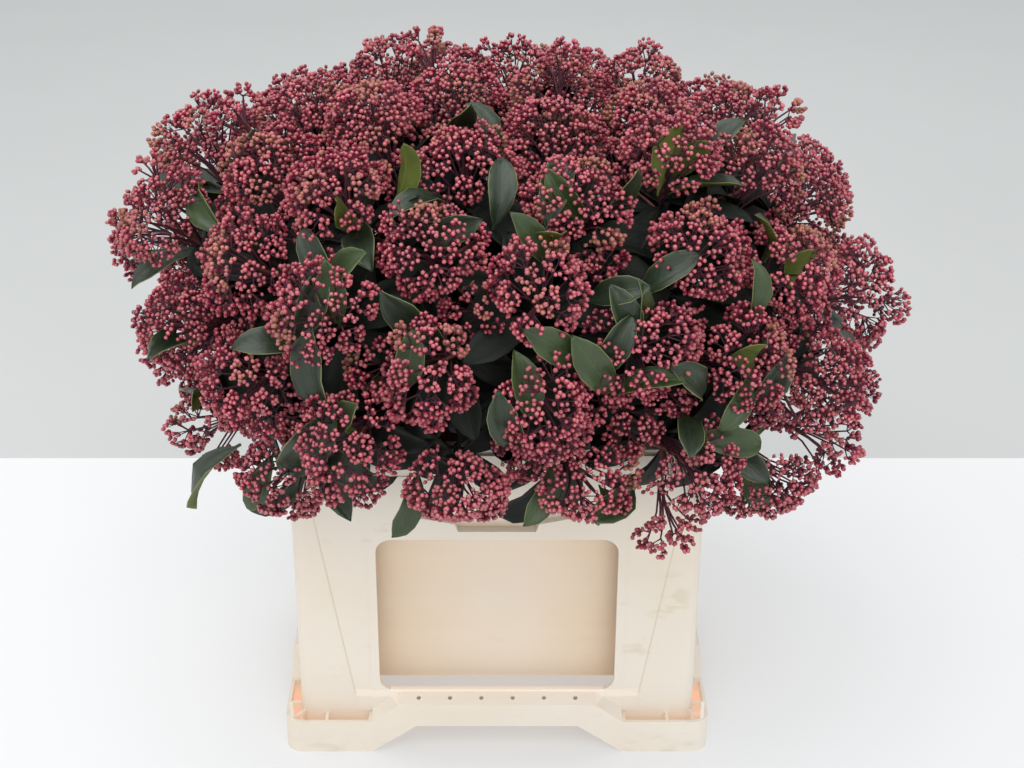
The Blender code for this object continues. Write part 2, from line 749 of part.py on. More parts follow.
def make_leaves(head, stem, space, chance, collection):
    """Rings of leaves round the head's stalk, leaving out each leaf that has no room."""
    side = head.axis.orthogonal().normalized()
    leaves = []
    for wanted, least, most in LEAF_RINGS:
        found = 0
        for index in range(LEAF_TRIES):
            if found == wanted:
                break
            azimuth = index * GOLDEN_ANGLE + chance.uniform(-0.3, 0.3)
            lean = chance.uniform(least, most)
            outward = Matrix.Rotation(azimuth, 3, head.axis) @ side
            heading = (head.axis * math.cos(lean) + outward * math.sin(lean)).normalized()
            root = head.below(chance.uniform(0.84, 1.15)) - heading * 0.002
            face_up = head.axis * math.sin(lean) - outward * math.cos(lean)
            place = leaf_place(root, heading, face_up, LEAF_LENGTH * chance.uniform(0.85, 1.1))
            if not leaf_fits(place, stem, space):
                continue
            leaf = mesh_object("leaf", leaf_shape(place), collection, "leaf_green")
            space.add(leaf, stem)
            leaves.append(leaf)
            found += 1
    return leaves


def grow_plant(container_pieces, collection):
    """Stems and heads first, so that each leaf can be tried against all of them."""
    chance = random.Random(CROWN_SEED + 1)
    stems = plan_crown()
    space = Space()
    for piece in container_pieces:
        space.add(piece, "container")
    for number, stem in enumerate(stems, 1):
        space.add(make_stem(f"stem_{number:02d}", stem, collection), "stems")
        stem.pieces = []
        for order, head in enumerate(stem.heads):
            start = stem.fork - stem.leaving * (0.0025 + TWIG_STEP * order)
            line = [start, head.below(1.25), head.below(0.35)]
            stem.pieces.append(tube("twig", line, TWIG_RADIUS * 1.1, TWIG_RADIUS, 3, collection))
            stem.pieces.append(make_dome(head, chance, collection))
        for piece in stem.pieces:
            space.add(piece, stem)
    for number, stem in enumerate(stems, 1):
        base = [stem.line[-1], stem.fork]
        mass = tube(f"bud_heads_{number:02d}", base, STEM_TIP_RADIUS, STEM_TIP_RADIUS * 0.9, 6, collection)
        for head in stem.heads:
            stem.pieces += make_leaves(head, stem, space, chance, collection)
        join(mass, stem.pieces)
        keep_largest_shell(mass)


def main():
    clear_scene()
    container = new_collection("container")
    plant = new_collection("skimmia")
    sleeve = make_sleeve(container)
    bucket = make_bucket(container)
    grow_plant((sleeve, bucket), plant)


main()
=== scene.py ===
# Cut skimmia stems with domed heads of dark red buds, standing in a cream plastic flower container.
# Metres, +Z up, and the container's front faces -Y. The CAD model is the fixed frame.
import json
import math
import random

import bmesh
import bpy
from mathutils import Matrix, Vector
from mathutils.bvhtree import BVHTree
from mathutils.kdtree import KDTree

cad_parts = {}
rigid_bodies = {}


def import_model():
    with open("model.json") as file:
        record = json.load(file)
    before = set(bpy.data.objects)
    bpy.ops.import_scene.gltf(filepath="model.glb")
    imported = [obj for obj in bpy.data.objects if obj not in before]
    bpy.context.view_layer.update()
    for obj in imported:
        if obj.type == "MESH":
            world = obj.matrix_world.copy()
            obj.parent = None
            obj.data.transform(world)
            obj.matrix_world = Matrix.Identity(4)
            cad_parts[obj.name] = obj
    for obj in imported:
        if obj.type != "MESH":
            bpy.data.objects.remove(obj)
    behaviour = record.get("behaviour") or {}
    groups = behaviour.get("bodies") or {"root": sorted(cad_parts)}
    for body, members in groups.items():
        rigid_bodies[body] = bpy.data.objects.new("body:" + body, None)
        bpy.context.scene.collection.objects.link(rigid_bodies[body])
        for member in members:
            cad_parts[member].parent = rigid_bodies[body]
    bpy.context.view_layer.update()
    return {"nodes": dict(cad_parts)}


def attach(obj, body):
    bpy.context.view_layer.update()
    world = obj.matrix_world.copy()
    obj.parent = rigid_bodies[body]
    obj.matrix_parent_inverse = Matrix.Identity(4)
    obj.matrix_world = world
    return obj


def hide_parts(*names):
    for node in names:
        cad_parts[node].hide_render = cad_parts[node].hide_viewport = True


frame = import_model()
print("frame loaded:", len(frame["nodes"]), "nodes")

goldenAngle = math.pi * (3 - math.sqrt(5))


# camera, light and stage

photo = {"width": 1024, "middle": (497, 384), "focus": 1500}  # in pixels

camera = {"place": Vector((0, -1.226, 0.995)), "towards": Vector((0, 0.8746, -0.4848)), "sensor": 36}

lights = {
    "overhead": {"place": (-0.4, -0.5, 2.3), "size": (2.6, 2.2), "power": 32},
    "front": {"place": (0.7, -2.3, 1.5), "size": (1.8, 1.4), "power": 12},
    "left": {"place": (-2.3, 0.2, 1.2), "size": (1.6, 1.4), "power": 4},
    "behind": {"place": (0.6, 2.1, 1.7), "size": (2.2, 1.4), "power": 5},
}

stage = {
    "lit": Vector((0, 0, 0.3)),  # what the lights are turned to
    "whiteBack": 0.377,  # the white ground ends here, and the grey begins
    "reach": 7,
    "white": (0.50, 0.505, 0.515),
    "grey": (0.48, 0.49, 0.485),
    "lift": {"white": 0.34, "grey": 0.12},  # keeps the ground pale and nearly without a shadow
    "mottle": (0.985, 1.01),
    "roughness": 0.85,
    "sky": (0.93, 0.95, 0.96),
    "skyPower": 0.80,
}


def linked(name, data):
    obj = bpy.data.objects.new(name, data)
    bpy.context.scene.collection.objects.link(obj)
    return obj


def aim(obj, way):
    obj.rotation_euler = way.to_track_quat("-Z", "Y").to_euler()


def setCamera():
    data = bpy.data.cameras.new("camera")
    data.sensor_width = camera["sensor"]
    data.lens = photo["focus"] / photo["width"] * camera["sensor"]
    data.shift_x = (photo["width"] / 2 - photo["middle"][0]) / photo["width"]
    eye = linked("camera", data)
    eye.location = camera["place"]
    aim(eye, camera["towards"])
    bpy.context.scene.camera = eye


def setLights():
    for name, light in lights.items():
        data = bpy.data.lights.new(name, "AREA")
        data.shape = "RECTANGLE"
        data.size, data.size_y = light["size"]
        data.energy = light["power"]
        lamp = linked(name, data)
        lamp.location = light["place"]
        aim(lamp, stage["lit"] - lamp.location)
    world = bpy.data.worlds.new("pale room")
    world.use_nodes = True
    sky = world.node_tree.nodes["Background"]
    sky.inputs["Color"].default_value = (*stage["sky"], 1)
    sky.inputs["Strength"].default_value = stage["skyPower"]
    bpy.context.scene.world = world
    bpy.context.scene.view_settings.view_transform = "Standard"


def sightLine(x, y):
    # from the camera through a place in the photo
    forward = camera["towards"].normalized()
    right = Vector((1, 0, 0))
    middleX, middleY = photo["middle"]
    return forward + (right * (x - middleX) + right.cross(forward) * (middleY - y)) / photo["focus"]


# node trees


class Wire:
    # one output socket of a node; sums, products and the like add Math nodes
    def __init__(self, board, socket):
        self.board = board
        self.socket = socket

    def out(self, name):
        return Wire(self.board, self.socket.node.outputs[name])

    def maths(self, operation, *others):
        return self.board.maths(operation, self, *others)

    def __add__(self, other):
        return self.maths("ADD", other)

    def __sub__(self, other):
        return self.maths("SUBTRACT", other)

    def __rsub__(self, other):
        return self.board.maths("SUBTRACT", other, self)

    def __mul__(self, other):
        return self.maths("MULTIPLY", other)

    def __truediv__(self, other):
        return self.maths("DIVIDE", other)

    def __rtruediv__(self, other):
        return self.board.maths("DIVIDE", other, self)

    def __pow__(self, other):
        return self.maths("POWER", other)

    def __abs__(self):
        return self.maths("ABSOLUTE")

    def above(self, limit):
        return self.maths("GREATER_THAN", limit)

    def equals(self, value):
        return self.maths("COMPARE", value, 0.4)

    def ramp(self, low, high, atLow=0.0, atHigh=1.0):
        # from atLow to atHigh between low and high, held level outside them
        sockets = {"From Min": low, "From Max": high, "To Min": atLow, "To Max": atHigh}
        return self.board.node("ShaderNodeMapRange", {"clamp": True}, self, **sockets)

    __radd__ = __add__
    __rmul__ = __mul__


class Board:
    # a node tree that nodes are added to
    def __init__(self, tree):
        self.tree = tree

    def node(self, kind, settings=None, *values, **named):
        made = self.tree.nodes.new(kind)
        for key, value in (settings or {}).items():
            setattr(made, key, value)
        for index, value in enumerate(values):
            self.plug(made.inputs[index], value)
        for key, value in named.items():
            self.plug(made.inputs[key], value)
        return Wire(self, next(socket for socket in made.outputs if socket.enabled))

    def plug(self, socket, value):
        if isinstance(value, Wire):
            self.tree.links.new(value.socket, socket)
        elif value is not None:
            socket.default_value = (*value, 1) if socket.type == "RGBA" else value

    def maths(self, operation, *values):
        return self.node("ShaderNodeMath", {"operation": operation}, *values)

    def combine(self, *values):
        return self.node("ShaderNodeCombineXYZ", None, *values)

    def parts(self, vector):
        split = self.node("ShaderNodeSeparateXYZ", None, vector)
        return [split.out(axis) for axis in "XYZ"]


class Finish(Board):
    # a material around one Principled shader
    def __init__(self, name, **constants):
        self.material = bpy.data.materials.new(name)
        self.material.use_nodes = True
        super().__init__(self.material.node_tree)
        self.shader = self.tree.nodes["Principled BSDF"]
        for key, value in constants.items():
            self.shader.inputs[key.replace("_", " ")].default_value = value

    def place(self):
        return self.node("ShaderNodeTexCoord").out("Object")

    def noise(self, scale, detail, stretch=None):
        where = self.place()
        if stretch:
            where = self.node("ShaderNodeMapping", None, Vector=where, Scale=stretch)
        made = self.node("ShaderNodeTexNoise", None, Vector=where, Scale=scale, Detail=detail, Roughness=0.55)
        return made.out("Fac")

    def mix(self, share, first, second):
        made = self.node("ShaderNodeMix", {"data_type": "RGBA"})
        sockets = {socket.identifier: socket for socket in made.socket.node.inputs}
        for name, value in (("Factor_Float", share), ("A_Color", first), ("B_Color", second)):
            self.plug(sockets[name], value)
        return made

    def mottle(self, pattern, tint, darker, lighter, low=0.35, high=0.65):
        # a colour that wavers between two shades of one tint
        shades = (tuple(part * share for part in tint) for share in (darker, lighter))
        return self.mix(pattern.ramp(low, high), *shades)

    def bump(self, height, distance, strength):
        return self.node("ShaderNodeBump", None, Strength=strength, Distance=distance, Height=height)

    def glow(self, strength, tint):
        self.plug(self.shader.inputs["Emission Color"], tint)
        self.plug(self.shader.inputs["Emission Strength"], strength)

    def paint(self, colour, roughness=None, normal=None):
        for name, value in (("Base Color", colour), ("Roughness", roughness), ("Normal", normal)):
            self.plug(self.shader.inputs[name], value)
        return self.material


class Grower(Board):
    # a Geometry Nodes tree; its named inputs come first, and the tree ends in one Geometry output
    kinds = {
        "length": "NodeSocketFloat",
        "count": "NodeSocketInt",
        "finish": "NodeSocketMaterial",
        "group": "NodeSocketCollection",
    }

    def __init__(self, name, **inputs):
        super().__init__(bpy.data.node_groups.new(name, "GeometryNodeTree"))
        self.addSocket("Geometry", "INPUT", "NodeSocketGeometry")
        for key, kind in inputs.items():
            self.addSocket(key, "INPUT", self.kinds[kind])
        self.addSocket("Geometry", "OUTPUT", "NodeSocketGeometry")
        self.entry = self.node("NodeGroupInput")

    def addSocket(self, name, way, kind):
        self.tree.interface.new_socket(name, in_out=way, socket_type=kind)

    def given(self, name):
        return self.entry.out(name)

    def stored(self, name, kind="FLOAT"):
        return self.node("GeometryNodeInputNamedAttribute", {"data_type": kind}, name)

    def markFaces(self, geometry, name, value):
        settings = {"data_type": "FLOAT", "domain": "FACE"}
        made = self.node("GeometryNodeStoreNamedAttribute", settings, geometry, Name=name)
        self.plug(next(s for s in made.socket.node.inputs if s.name == "Value" and s.enabled), value)
        return made

    def smooth(self, geometry):
        return self.node("GeometryNodeSetShadeSmooth", None, geometry)

    def facing(self):
        # the turn that points +Z along the guide's facing
        facing = self.stored("facing", "FLOAT_VECTOR")
        return self.node("FunctionNodeAlignRotationToVector", {"axis": "Z"}, Vector=facing)

    def scatter(self, **sockets):
        # one turned and sized copy on each of the guide's points, made real
        spots = self.node("GeometryNodeMeshToPoints", None, self.given("Geometry"))
        placed = self.node("GeometryNodeInstanceOnPoints", None, spots, **sockets)
        return self.node("GeometryNodeRealizeInstances", None, placed)

    def tube(self, line):
        section = self.node("GeometryNodeCurvePrimitiveCircle", None, self.given("Sides"), Radius=1.0)
        sockets = {"Scale": self.stored("radius"), "Fill Caps": True}
        return self.node("GeometryNodeCurveToMesh", None, line, section, **sockets)

    def paintFaces(self, geometry, finish, chosen=None):
        return self.node("GeometryNodeSetMaterial", None, geometry, chosen, Material=self.given(finish))

    def close(self, geometry):
        leave = self.tree.nodes.new("NodeGroupOutput")
        self.tree.links.new(geometry.socket, leave.inputs["Geometry"])
        return self


def meshFrom(name, shape):
    mesh = bpy.data.meshes.new(name)
    shape.to_mesh(mesh)
    shape.free()
    return mesh


def evaluatedMesh(obj):
    bpy.context.view_layer.update()
    return bpy.data.meshes.new_from_object(obj.evaluated_get(bpy.context.evaluated_depsgraph_get()))


# what guides and blades store for the trees, taken off again once a piece has grown
guideLayers = ("tone", "tip", "size", "facing", "upper", "heading", "upperSide", "variant", "radius")


def grow(name, guide, grower, **inputs):
    # runs a tree on a guide mesh and leaves its result as a plain mesh object at the origin
    carrier = linked(name + "Guide", guide)
    modifier = carrier.modifiers.new("grow", "NODES")
    modifier.node_group = grower.tree
    ids = {item.name: item.identifier for item in grower.tree.interface.items_tree if item.in_out == "INPUT"}
    for key, value in inputs.items():
        modifier[ids[key]] = value
    grown = evaluatedMesh(carrier)
    carrier.modifiers.remove(modifier)
    bpy.data.objects.remove(carrier)
    for layer in [layer.name for layer in grown.attributes if layer.name in guideLayers]:
        grown.attributes.remove(grown.attributes[layer])
    grown.name = name
    return linked(name, grown)


def pointMesh(rows, layers, edges=()):
    # a guide mesh: each row is a point's place and its value in each layer
    places, *columns = zip(*rows)
    mesh = bpy.data.meshes.new("guide")
    mesh.from_pydata(places, edges, [])
    for name, values in zip(layers, columns):
        vectors = isinstance(values[0], Vector)
        layer = mesh.attributes.new(name, "FLOAT_VECTOR" if vectors else "FLOAT", "POINT")
        numbers = [number for value in values for number in value] if vectors else [float(v) for v in values]
        layer.data.foreach_set("vector" if vectors else "value", numbers)
    return mesh


def lineMesh(lines):
    # each line is its points and its first and last radius
    rows, edges = [], []
    for line, (first, last) in lines:
        start, steps = len(rows), len(line) - 1
        edges += [(start + k, start + k + 1) for k in range(steps)]
        rows += [(place, first + (last - first) * k / steps) for k, place in enumerate(line)]
    return pointMesh(rows, ["radius"], edges)


# the cream plastic, with painted glow for the light that its thin walls pass on, painted shade inside it and
# along its panel's edge, and the marks of handling

sleeve = {
    "draft": 0.080,
    "wall": (0.186, 0.135),  # half sizes at the ground
    "skirt": (0.200, 0.150),
    "skirtCorner": 0.015,
    "skirtWall": 0.0026,
    "skirtTop": 0.058,
    "foot": (0.038, 0.020),  # a foot pocket's light begins at the first height and is full at the second
    "footFloor": 0.0105,
    # a foot pocket's orange is a painted glow, standing in for light that the thin walls pass on
    "footCorner": (0.165, 0.190),  # a foot pocket's colour deepens between these places along the front,
    "footDepth": (0.032, 0.013),  # and between these heights
    "hollow": (0.178, 0.1295),  # half sizes of the space inside the walls
    "hollowTop": 0.31,
    "bucketLow": 0.060,
    "windowHalf": 0.1,
    "windowLow": 0.0635,
    "ledge": (0.056, 0.0635),
    "ledgeHalf": 0.135,
    "panel": (0.124, 0.159),  # the raised panel's half width at the ground, and how it widens upwards
    "margin": 0.0002,
}

plastic = {
    "cream": (0.815, 0.730, 0.615),
    "faded": (0.840, 0.770, 0.675),
    # painted orange glow in the foot pockets, for light that the thin walls pass on
    "pocket": (0.88, 0.50, 0.25),
    # painted shade inside the walls, warmed by light through the plastic and deepest towards the sides
    "inside": (0.80, 0.59, 0.40),
    # painted shade for the crease along the raised panel's edge
    "creaseShade": (0.62, 0.47, 0.33),
    "roughness": 0.46,
    "relief": 0.00012,
}

# painted glow: how strongly each place glows, standing in for the light that the walls pass on; the sill's
# glow lifts the shade that lies on it
paintedGlow = {"pocket": 0.30, "hollow": 0.34, "lowInside": 0.05, "sill": 0.16, "ledge": 0.08}
paintedGlowTint = (1.0, 0.80, 0.68)

marks = {
    "smear": {"tint": (0.66, 0.57, 0.36), "share": 0.42, "place": (0.155, 0.166), "reach": (0.024, 0.034)},
    "stain": {"tint": (0.56, 0.44, 0.26), "share": 0.30},
    "scratch": {"tint": (0.30, 0.27, 0.23), "share": 0.10},
    "dirt": {"tint": (0.30, 0.27, 0.23), "share": 0.22, "height": 0.030},
}


def sleevePlaces(x, y, z):
    # masks for the places of the sleeve, 1 inside each and 0 outside; across and along take out the draft
    shrink = 1 - z * sleeve["draft"]
    across, along = abs(x) / shrink, abs(y) / shrink
    (wallX, wallY), (hollowX, hollowY), margin = sleeve["wall"], sleeve["hollow"], sleeve["margin"]
    corner = sleeve["skirtCorner"]
    sides = zip((x, y), sleeve["skirt"])
    pastX, pastY = ((abs(a) - half + corner).maths("MAXIMUM", 0.0) for a, half in sides)
    inSkirt = (corner - sleeve["skirtWall"] - (pastX * pastX + pastY * pastY) ** 0.5).above(0)
    beside = (across - wallX - margin).above(0).maths("MAXIMUM", (along - wallY - margin).above(0))
    pocket = inSkirt * beside * z.ramp(*sleeve["foot"]) * z.above(sleeve["footFloor"])
    within = (hollowY - along).above(0) * (hollowX - across).above(0)
    inside = within * (sleeve["hollowTop"] - z).above(0)
    onSill = abs(z - sleeve["windowLow"]).ramp(0.0012, 0.0006) * (along - hollowY).above(0)
    low, high = sleeve["ledge"]
    onLedge = z.ramp(low - 0.001, low) * z.ramp(high + 0.001, high) * (sleeve["ledgeHalf"] - across).above(0)
    outside = (along - wallY + 0.0005).above(0) * z.above(sleeve["skirtTop"])
    half, widening = sleeve["panel"]
    deep = abs(x).ramp(*sleeve["footCorner"], 0.42, 1.0) * z.ramp(*sleeve["footDepth"], 0.60, 1.0)
    return {
        "pocket": pocket,
        "deepPocketGlow": pocket * deep,
        "inside": inside,
        # how strong the painted shade inside the walls is: stronger towards the sides
        "insideShade": inside * across.ramp(0.02, 0.125, 0.35, 0.95),
        "lowInside": inside * z.ramp(0.16, 0.06),
        "hollow": within * z.ramp(sleeve["bucketLow"], 0.050),
        "sill": onSill * (sleeve["windowHalf"] - across).above(0),
        "ledge": beside * onLedge,
        "outside": outside,
        # painted shade in the crease along the raised panel's edge
        "creaseShade": outside * abs(across - z * widening - half).ramp(0.0012, 0.0004),
    }


def creamPlastic():
    made = Finish("creamPlastic", IOR=1.49)
    x, y, z = made.parts(made.place())
    places = sleevePlaces(x, y, z)
    clouds = made.noise(7.0, 4.0)
    smears = made.noise(34.0, 5.0, (1, 1, 2.4))
    bands = made.noise(6.0, 4.0, (0.3, 0.3, 9)).ramp(0.38, 0.62)
    colour = made.mix(clouds.ramp(0.35, 0.70), plastic["cream"], plastic["faded"])
    # painted orange glow deep in the foot pockets
    colour = made.mix(places["deepPocketGlow"] * 0.80, colour, plastic["pocket"])
    # painted shade inside the walls, warm and deepest towards the sides
    colour = made.mix(places["insideShade"], colour, plastic["inside"])
    # painted shade in the crease along the raised panel's edge
    colour = made.mix(places["creaseShade"] * 0.40, colour, plastic["creaseShade"])
    colour = made.mix(bands * places["inside"] * 0.22, colour, plastic["cream"])
    # painted glow, standing in for light through the thin walls and lifting the shade on the sill
    made.glow(sum(places[name] * strength for name, strength in paintedGlow.items()), paintedGlowTint)
    # an old yellowish smear on the right of the front, then stains, scuffs and a little dirt low down
    ways = zip((x, z), marks["smear"]["place"], marks["smear"]["reach"])
    apart = sum(((a - middle) / reach) ** 2.0 for a, middle, reach in ways) ** 0.5
    onFront = (y * -1).above(0.12) * places["outside"]
    scratches = made.noise(60.0, 3.0, (1, 1, 14)).ramp(0.70, 0.76)
    masks = {
        "smear": apart.ramp(1.05, 0.5) * smears.ramp(0.47, 0.53) * onFront,
        "stain": smears.ramp(0.60, 0.72) * clouds.ramp(0.47, 0.60),
        "scratch": scratches,
        "dirt": z.ramp(marks["dirt"]["height"], 0.0) * smears.ramp(0.48, 0.66),
    }
    for name, mask in masks.items():
        colour = made.mix(mask * marks[name]["share"], colour, marks[name]["tint"])
    rough = plastic["roughness"] + clouds * 0.08 + scratches * 0.15
    height = made.noise(420.0, 2.0) * 0.5 + smears * 1.5 - scratches
    return made.paint(colour, rough, made.bump(height, plastic["relief"], 0.6))


# the plant's finishes: each has its tint and its roughness

foliage = {
    "bud": {
        "budCrimson": ((0.284, 0.023, 0.052), 0.23),
        "budRose": ((0.388, 0.058, 0.088), 0.23),
        "budPlum": ((0.165, 0.015, 0.038), 0.30),
        "budTan": ((0.340, 0.140, 0.080), 0.40),
        # painted highlight: the paler top of each bud
        "budTip": ((0.470, 0.130, 0.145), 0.22),
    },
    "wood": {
        "stalk": ((0.090, 0.020, 0.036), 0.50),
        "peduncle": ((0.16, 0.050, 0.040), 0.55),
    },
    "leaf": {
        "leafDark": ((0.017, 0.031, 0.014), 0.34),
        "leafFresh": ((0.036, 0.062, 0.018), 0.36),
        # painted shade for leaves deep inside the crown
        "leafDeep": ((0.007, 0.010, 0.007), 0.46),
        "leafUnder": ((0.115, 0.145, 0.030), 0.48),
        "leafMargin": ((0.19, 0.215, 0.080), 0.45),
    },
}


def budFinish(name, tint, rough):
    made = Finish(name, Specular_IOR_Level=0.5)
    skin = made.noise(900.0, 2.0)
    colour = made.mottle(made.noise(55.0, 2.0), tint, 0.72, 1.22, 0.36, 0.64)
    return made.paint(colour, rough + skin * 0.1, made.bump(skin, 0.00010, 0.5))


def woodFinish(name, tint, rough):
    made = Finish(name)
    streaks = made.noise(240.0, 3.0, (1, 1, 0.3))
    colour = made.mottle(streaks, tint, 0.65, 1.3)
    return made.paint(colour, rough + streaks * 0.15, made.bump(streaks, 0.0002, 0.5))


def leafFinish(name, tint, rough):
    coat, shine = (0.15, 0.5) if name in ("leafDark", "leafFresh") else (0.0, 0.22)
    made = Finish(name, Coat_Weight=coat, Coat_Roughness=0.22, Specular_IOR_Level=shine)
    u, v, _ = made.parts(made.node("ShaderNodeUVMap", {"uv_map": "UVMap"}))
    across = abs(u * 2 - 1)
    rib = across.ramp(0.06, 0.0)
    veins = abs((v * 9 - across * 2.6).maths("FRACT") - 0.5).ramp(0.10, 0.0) * across.ramp(1.0, 0.3)
    patches = made.noise(42.0, 3.0)
    pale = tuple(c * 1.9 + 0.01 for c in tint)
    colour = made.mix(rib * 0.55 + veins * 0.16, made.mottle(patches, tint, 0.80, 1.25), pale)
    height = made.noise(300.0, 3.0) * 0.4 - veins * 0.6 - rib
    return made.paint(colour, rough + patches * 0.12, made.bump(height, 0.0004, 0.55))


def makeFinishes():
    finishes = {"creamPlastic": creamPlastic()}
    for maker, tints in zip((budFinish, woodFinish, leafFinish), foliage.values()):
        for name, (tint, rough) in tints.items():
            finishes[name] = maker(name, tint, rough)
    return finishes


# the container: each CAD node's copy gets its moulded, rounded edges

moulding = {"merge": 1e-5, "edge": 0.0009, "sharp": math.radians(24), "segments": 2}

# each ledge's sixth drain hole, cut here beside the five that the frame's sleeve has
drain = {
    "place": Vector((0.0732, -0.1418, 0.0585)),
    "through": Vector((0, -0.007, 0.015)),
    "radius": 0.0022,
    "depth": 0.016,
    "sides": 12,
}


def cutDrains(piece):
    for turn in (0, math.pi):
        shape = bmesh.new()
        size = {"radius1": drain["radius"], "radius2": drain["radius"], "depth": drain["depth"]}
        bmesh.ops.create_cone(shape, cap_ends=True, segments=drain["sides"], **size)
        tilt = drain["through"].to_track_quat("Z", "X").to_matrix().to_4x4()
        shape.transform(Matrix.Rotation(turn, 4, "Z") @ Matrix.Translation(drain["place"]) @ tilt)
        cutter = linked("drain", meshFrom("drain", shape))
        boring = piece.modifiers.new("bored", "BOOLEAN")
        boring.operation = "DIFFERENCE"
        boring.object = cutter
        settle(piece)
        bpy.data.objects.remove(cutter)


def settle(piece):
    # leaves the modifiers' result as the piece's own mesh
    mesh = evaluatedMesh(piece)
    piece.modifiers.clear()
    piece.data = mesh


def mouldedCopy(node, finish):
    mesh = frame["nodes"][node].data.copy()
    mesh.name = "moulded_" + node
    shape = bmesh.new()
    shape.from_mesh(mesh)
    bmesh.ops.remove_doubles(shape, verts=shape.verts, dist=moulding["merge"])
    shape.to_mesh(mesh)
    shape.free()
    for layer in [layer.name for layer in mesh.attributes if layer.name == "custom_normal"]:
        mesh.attributes.remove(mesh.attributes[layer])
    mesh.materials.clear()
    mesh.materials.append(finish)
    piece = linked("moulded_" + node, mesh)
    if node == "sleeve":
        cutDrains(piece)
    rounding = piece.modifiers.new("rounded edges", "BEVEL")
    rounding.width = moulding["edge"]
    rounding.segments = moulding["segments"]
    rounding.limit_method = "ANGLE"
    rounding.angle_limit = moulding["sharp"]
    rounding.harden_normals = True
    for face in piece.data.polygons:
        face.use_smooth = True
    settle(piece)
    finishPiece(piece, [node])


def finishPiece(piece, nodes):
    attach(piece, "root")
    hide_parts(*nodes)


# the crown's plan: where the heads and stems stand, by the same rule as the CAD model

crown = {
    "middle": Vector((0.0, 0.0, 0.410)),
    "half": Vector((0.300, 0.238, 0.166)),
    "droop": math.radians(119),
    "fullness": 0.84,
    "frontLift": 0.12,
    "frontLiftWidth": 0.40,
    "heads": {"count": 72, "turn": 0.4, "spacing": 0.096},
    "stems": {"count": 23, "turn": 1.1, "spacing": 0.170},
    "rounds": 60,  # how often neighbours push each other apart
    "push": 0.25,
    "seed": 7,
    "headRadius": 0.046,
    "headSizes": (0.90, 1.06),
    "headJitter": 0.010,
    "headTilt": 0.22,
    "headRise": 0.15,
    "lowestFacing": -0.30,
    "headGap": 0.0006,
    "exposed": (0.78, 0.45),  # heads that face this far sideways or backwards grow more openly
    "openness": ((0, 0.3), (0.35, 0.75)),
    "sleeveHalf": Vector((0.186, 0.135)),
    "rimGap": 0.006,
    "rimZoneTop": 0.376,
}

# bumps of the outline: azimuth from +X and angle from the top in degrees, width of the bump, reach
lobes = (
    (118, 46, 0.34, 0.016),
    (62, 44, 0.32, 0.010),
    (92, 46, 0.14, -0.016),
    (28, 62, 0.40, 0.014),
    (168, 74, 0.36, 0.022),
    (184, 112, 0.34, -0.030),
    (-28, 112, 0.30, 0.022),
    (-146, 116, 0.28, 0.012),
)

stemLine = {
    "footRadius": 0.0048,
    "tipRadius": 0.0034,
    "points": 7,
    "floorReach": Vector((0.120, 0.082)),
    "neckReach": Vector((0.140, 0.090)),
    "neckHeight": 0.340,
    "footRise": 0.7,
    "footLean": 0.25,
    "forkPull": 0.75,
    "forkRise": 0.02,
    "forkShare": 0.62,
    "forkLength": 0.010,
    "floor": 0.058 + 0.0025 + 0.0003,  # the bucket's underside, its wall and a gap
    "sides": 10,
    "rings": 40,
    "relief": 0.0009,
}


def perHalf(vector):
    # a vector measured in the crown's half sizes
    return Vector(part / half for part, half in zip(vector, crown["half"]))


def fromTop(direction):
    # a direction's angle from the top
    return math.acos(max(-1, min(1, direction.z)))


def crownPoint(direction, reach=0.0):
    # the point of the crown's dome in this direction, moved outwards by reach and by the lobes
    azimuth = math.atan2(direction.y, direction.x)
    drop = fromTop(direction)
    for lobeAzimuth, lobeDrop, width, height in lobes:
        turn = math.sin(drop) * math.remainder(azimuth - math.radians(lobeAzimuth), 2 * math.pi)
        reach += height * math.exp(-(turn**2 + (drop - math.radians(lobeDrop)) ** 2) / (2 * width**2))
    fromFront = math.remainder(azimuth + math.pi / 2, 2 * math.pi)
    drop *= 1 - crown["frontLift"] * math.exp(-((fromFront / crown["frontLiftWidth"]) ** 2) / 2)
    out = math.sin(drop) ** crown["fullness"]
    rise = math.copysign(abs(math.cos(drop)) ** crown["fullness"], math.cos(drop))
    half = crown["half"]
    onDome = Vector((half.x * out * math.cos(azimuth), half.y * out * math.sin(azimuth), half.z * rise))
    return pastTheRim(crown["middle"] + onDome + direction * reach)


def fromWall(place):
    # how far outside the sleeve's walls a place is, seen from above
    wall = crown["sleeveHalf"]
    return math.hypot(max(abs(place.x) - wall.x, 0), max(abs(place.y) - wall.y, 0))


def pastTheRim(point):
    # a low head hangs beside the container's rim and not into it
    if point.z > crown["rimZoneTop"]:
        return point
    missing = max(crown["headRadius"] + crown["rimGap"] - fromWall(point), 0)
    return point + Vector((point.x, point.y, 0)).normalized() * missing


def standsOut(place):
    # how far a place stands out from the dome on which the heads have their middles
    offset = place - crown["middle"]
    return offset.length - (crownPoint(perHalf(offset).normalized()) - crown["middle"]).length


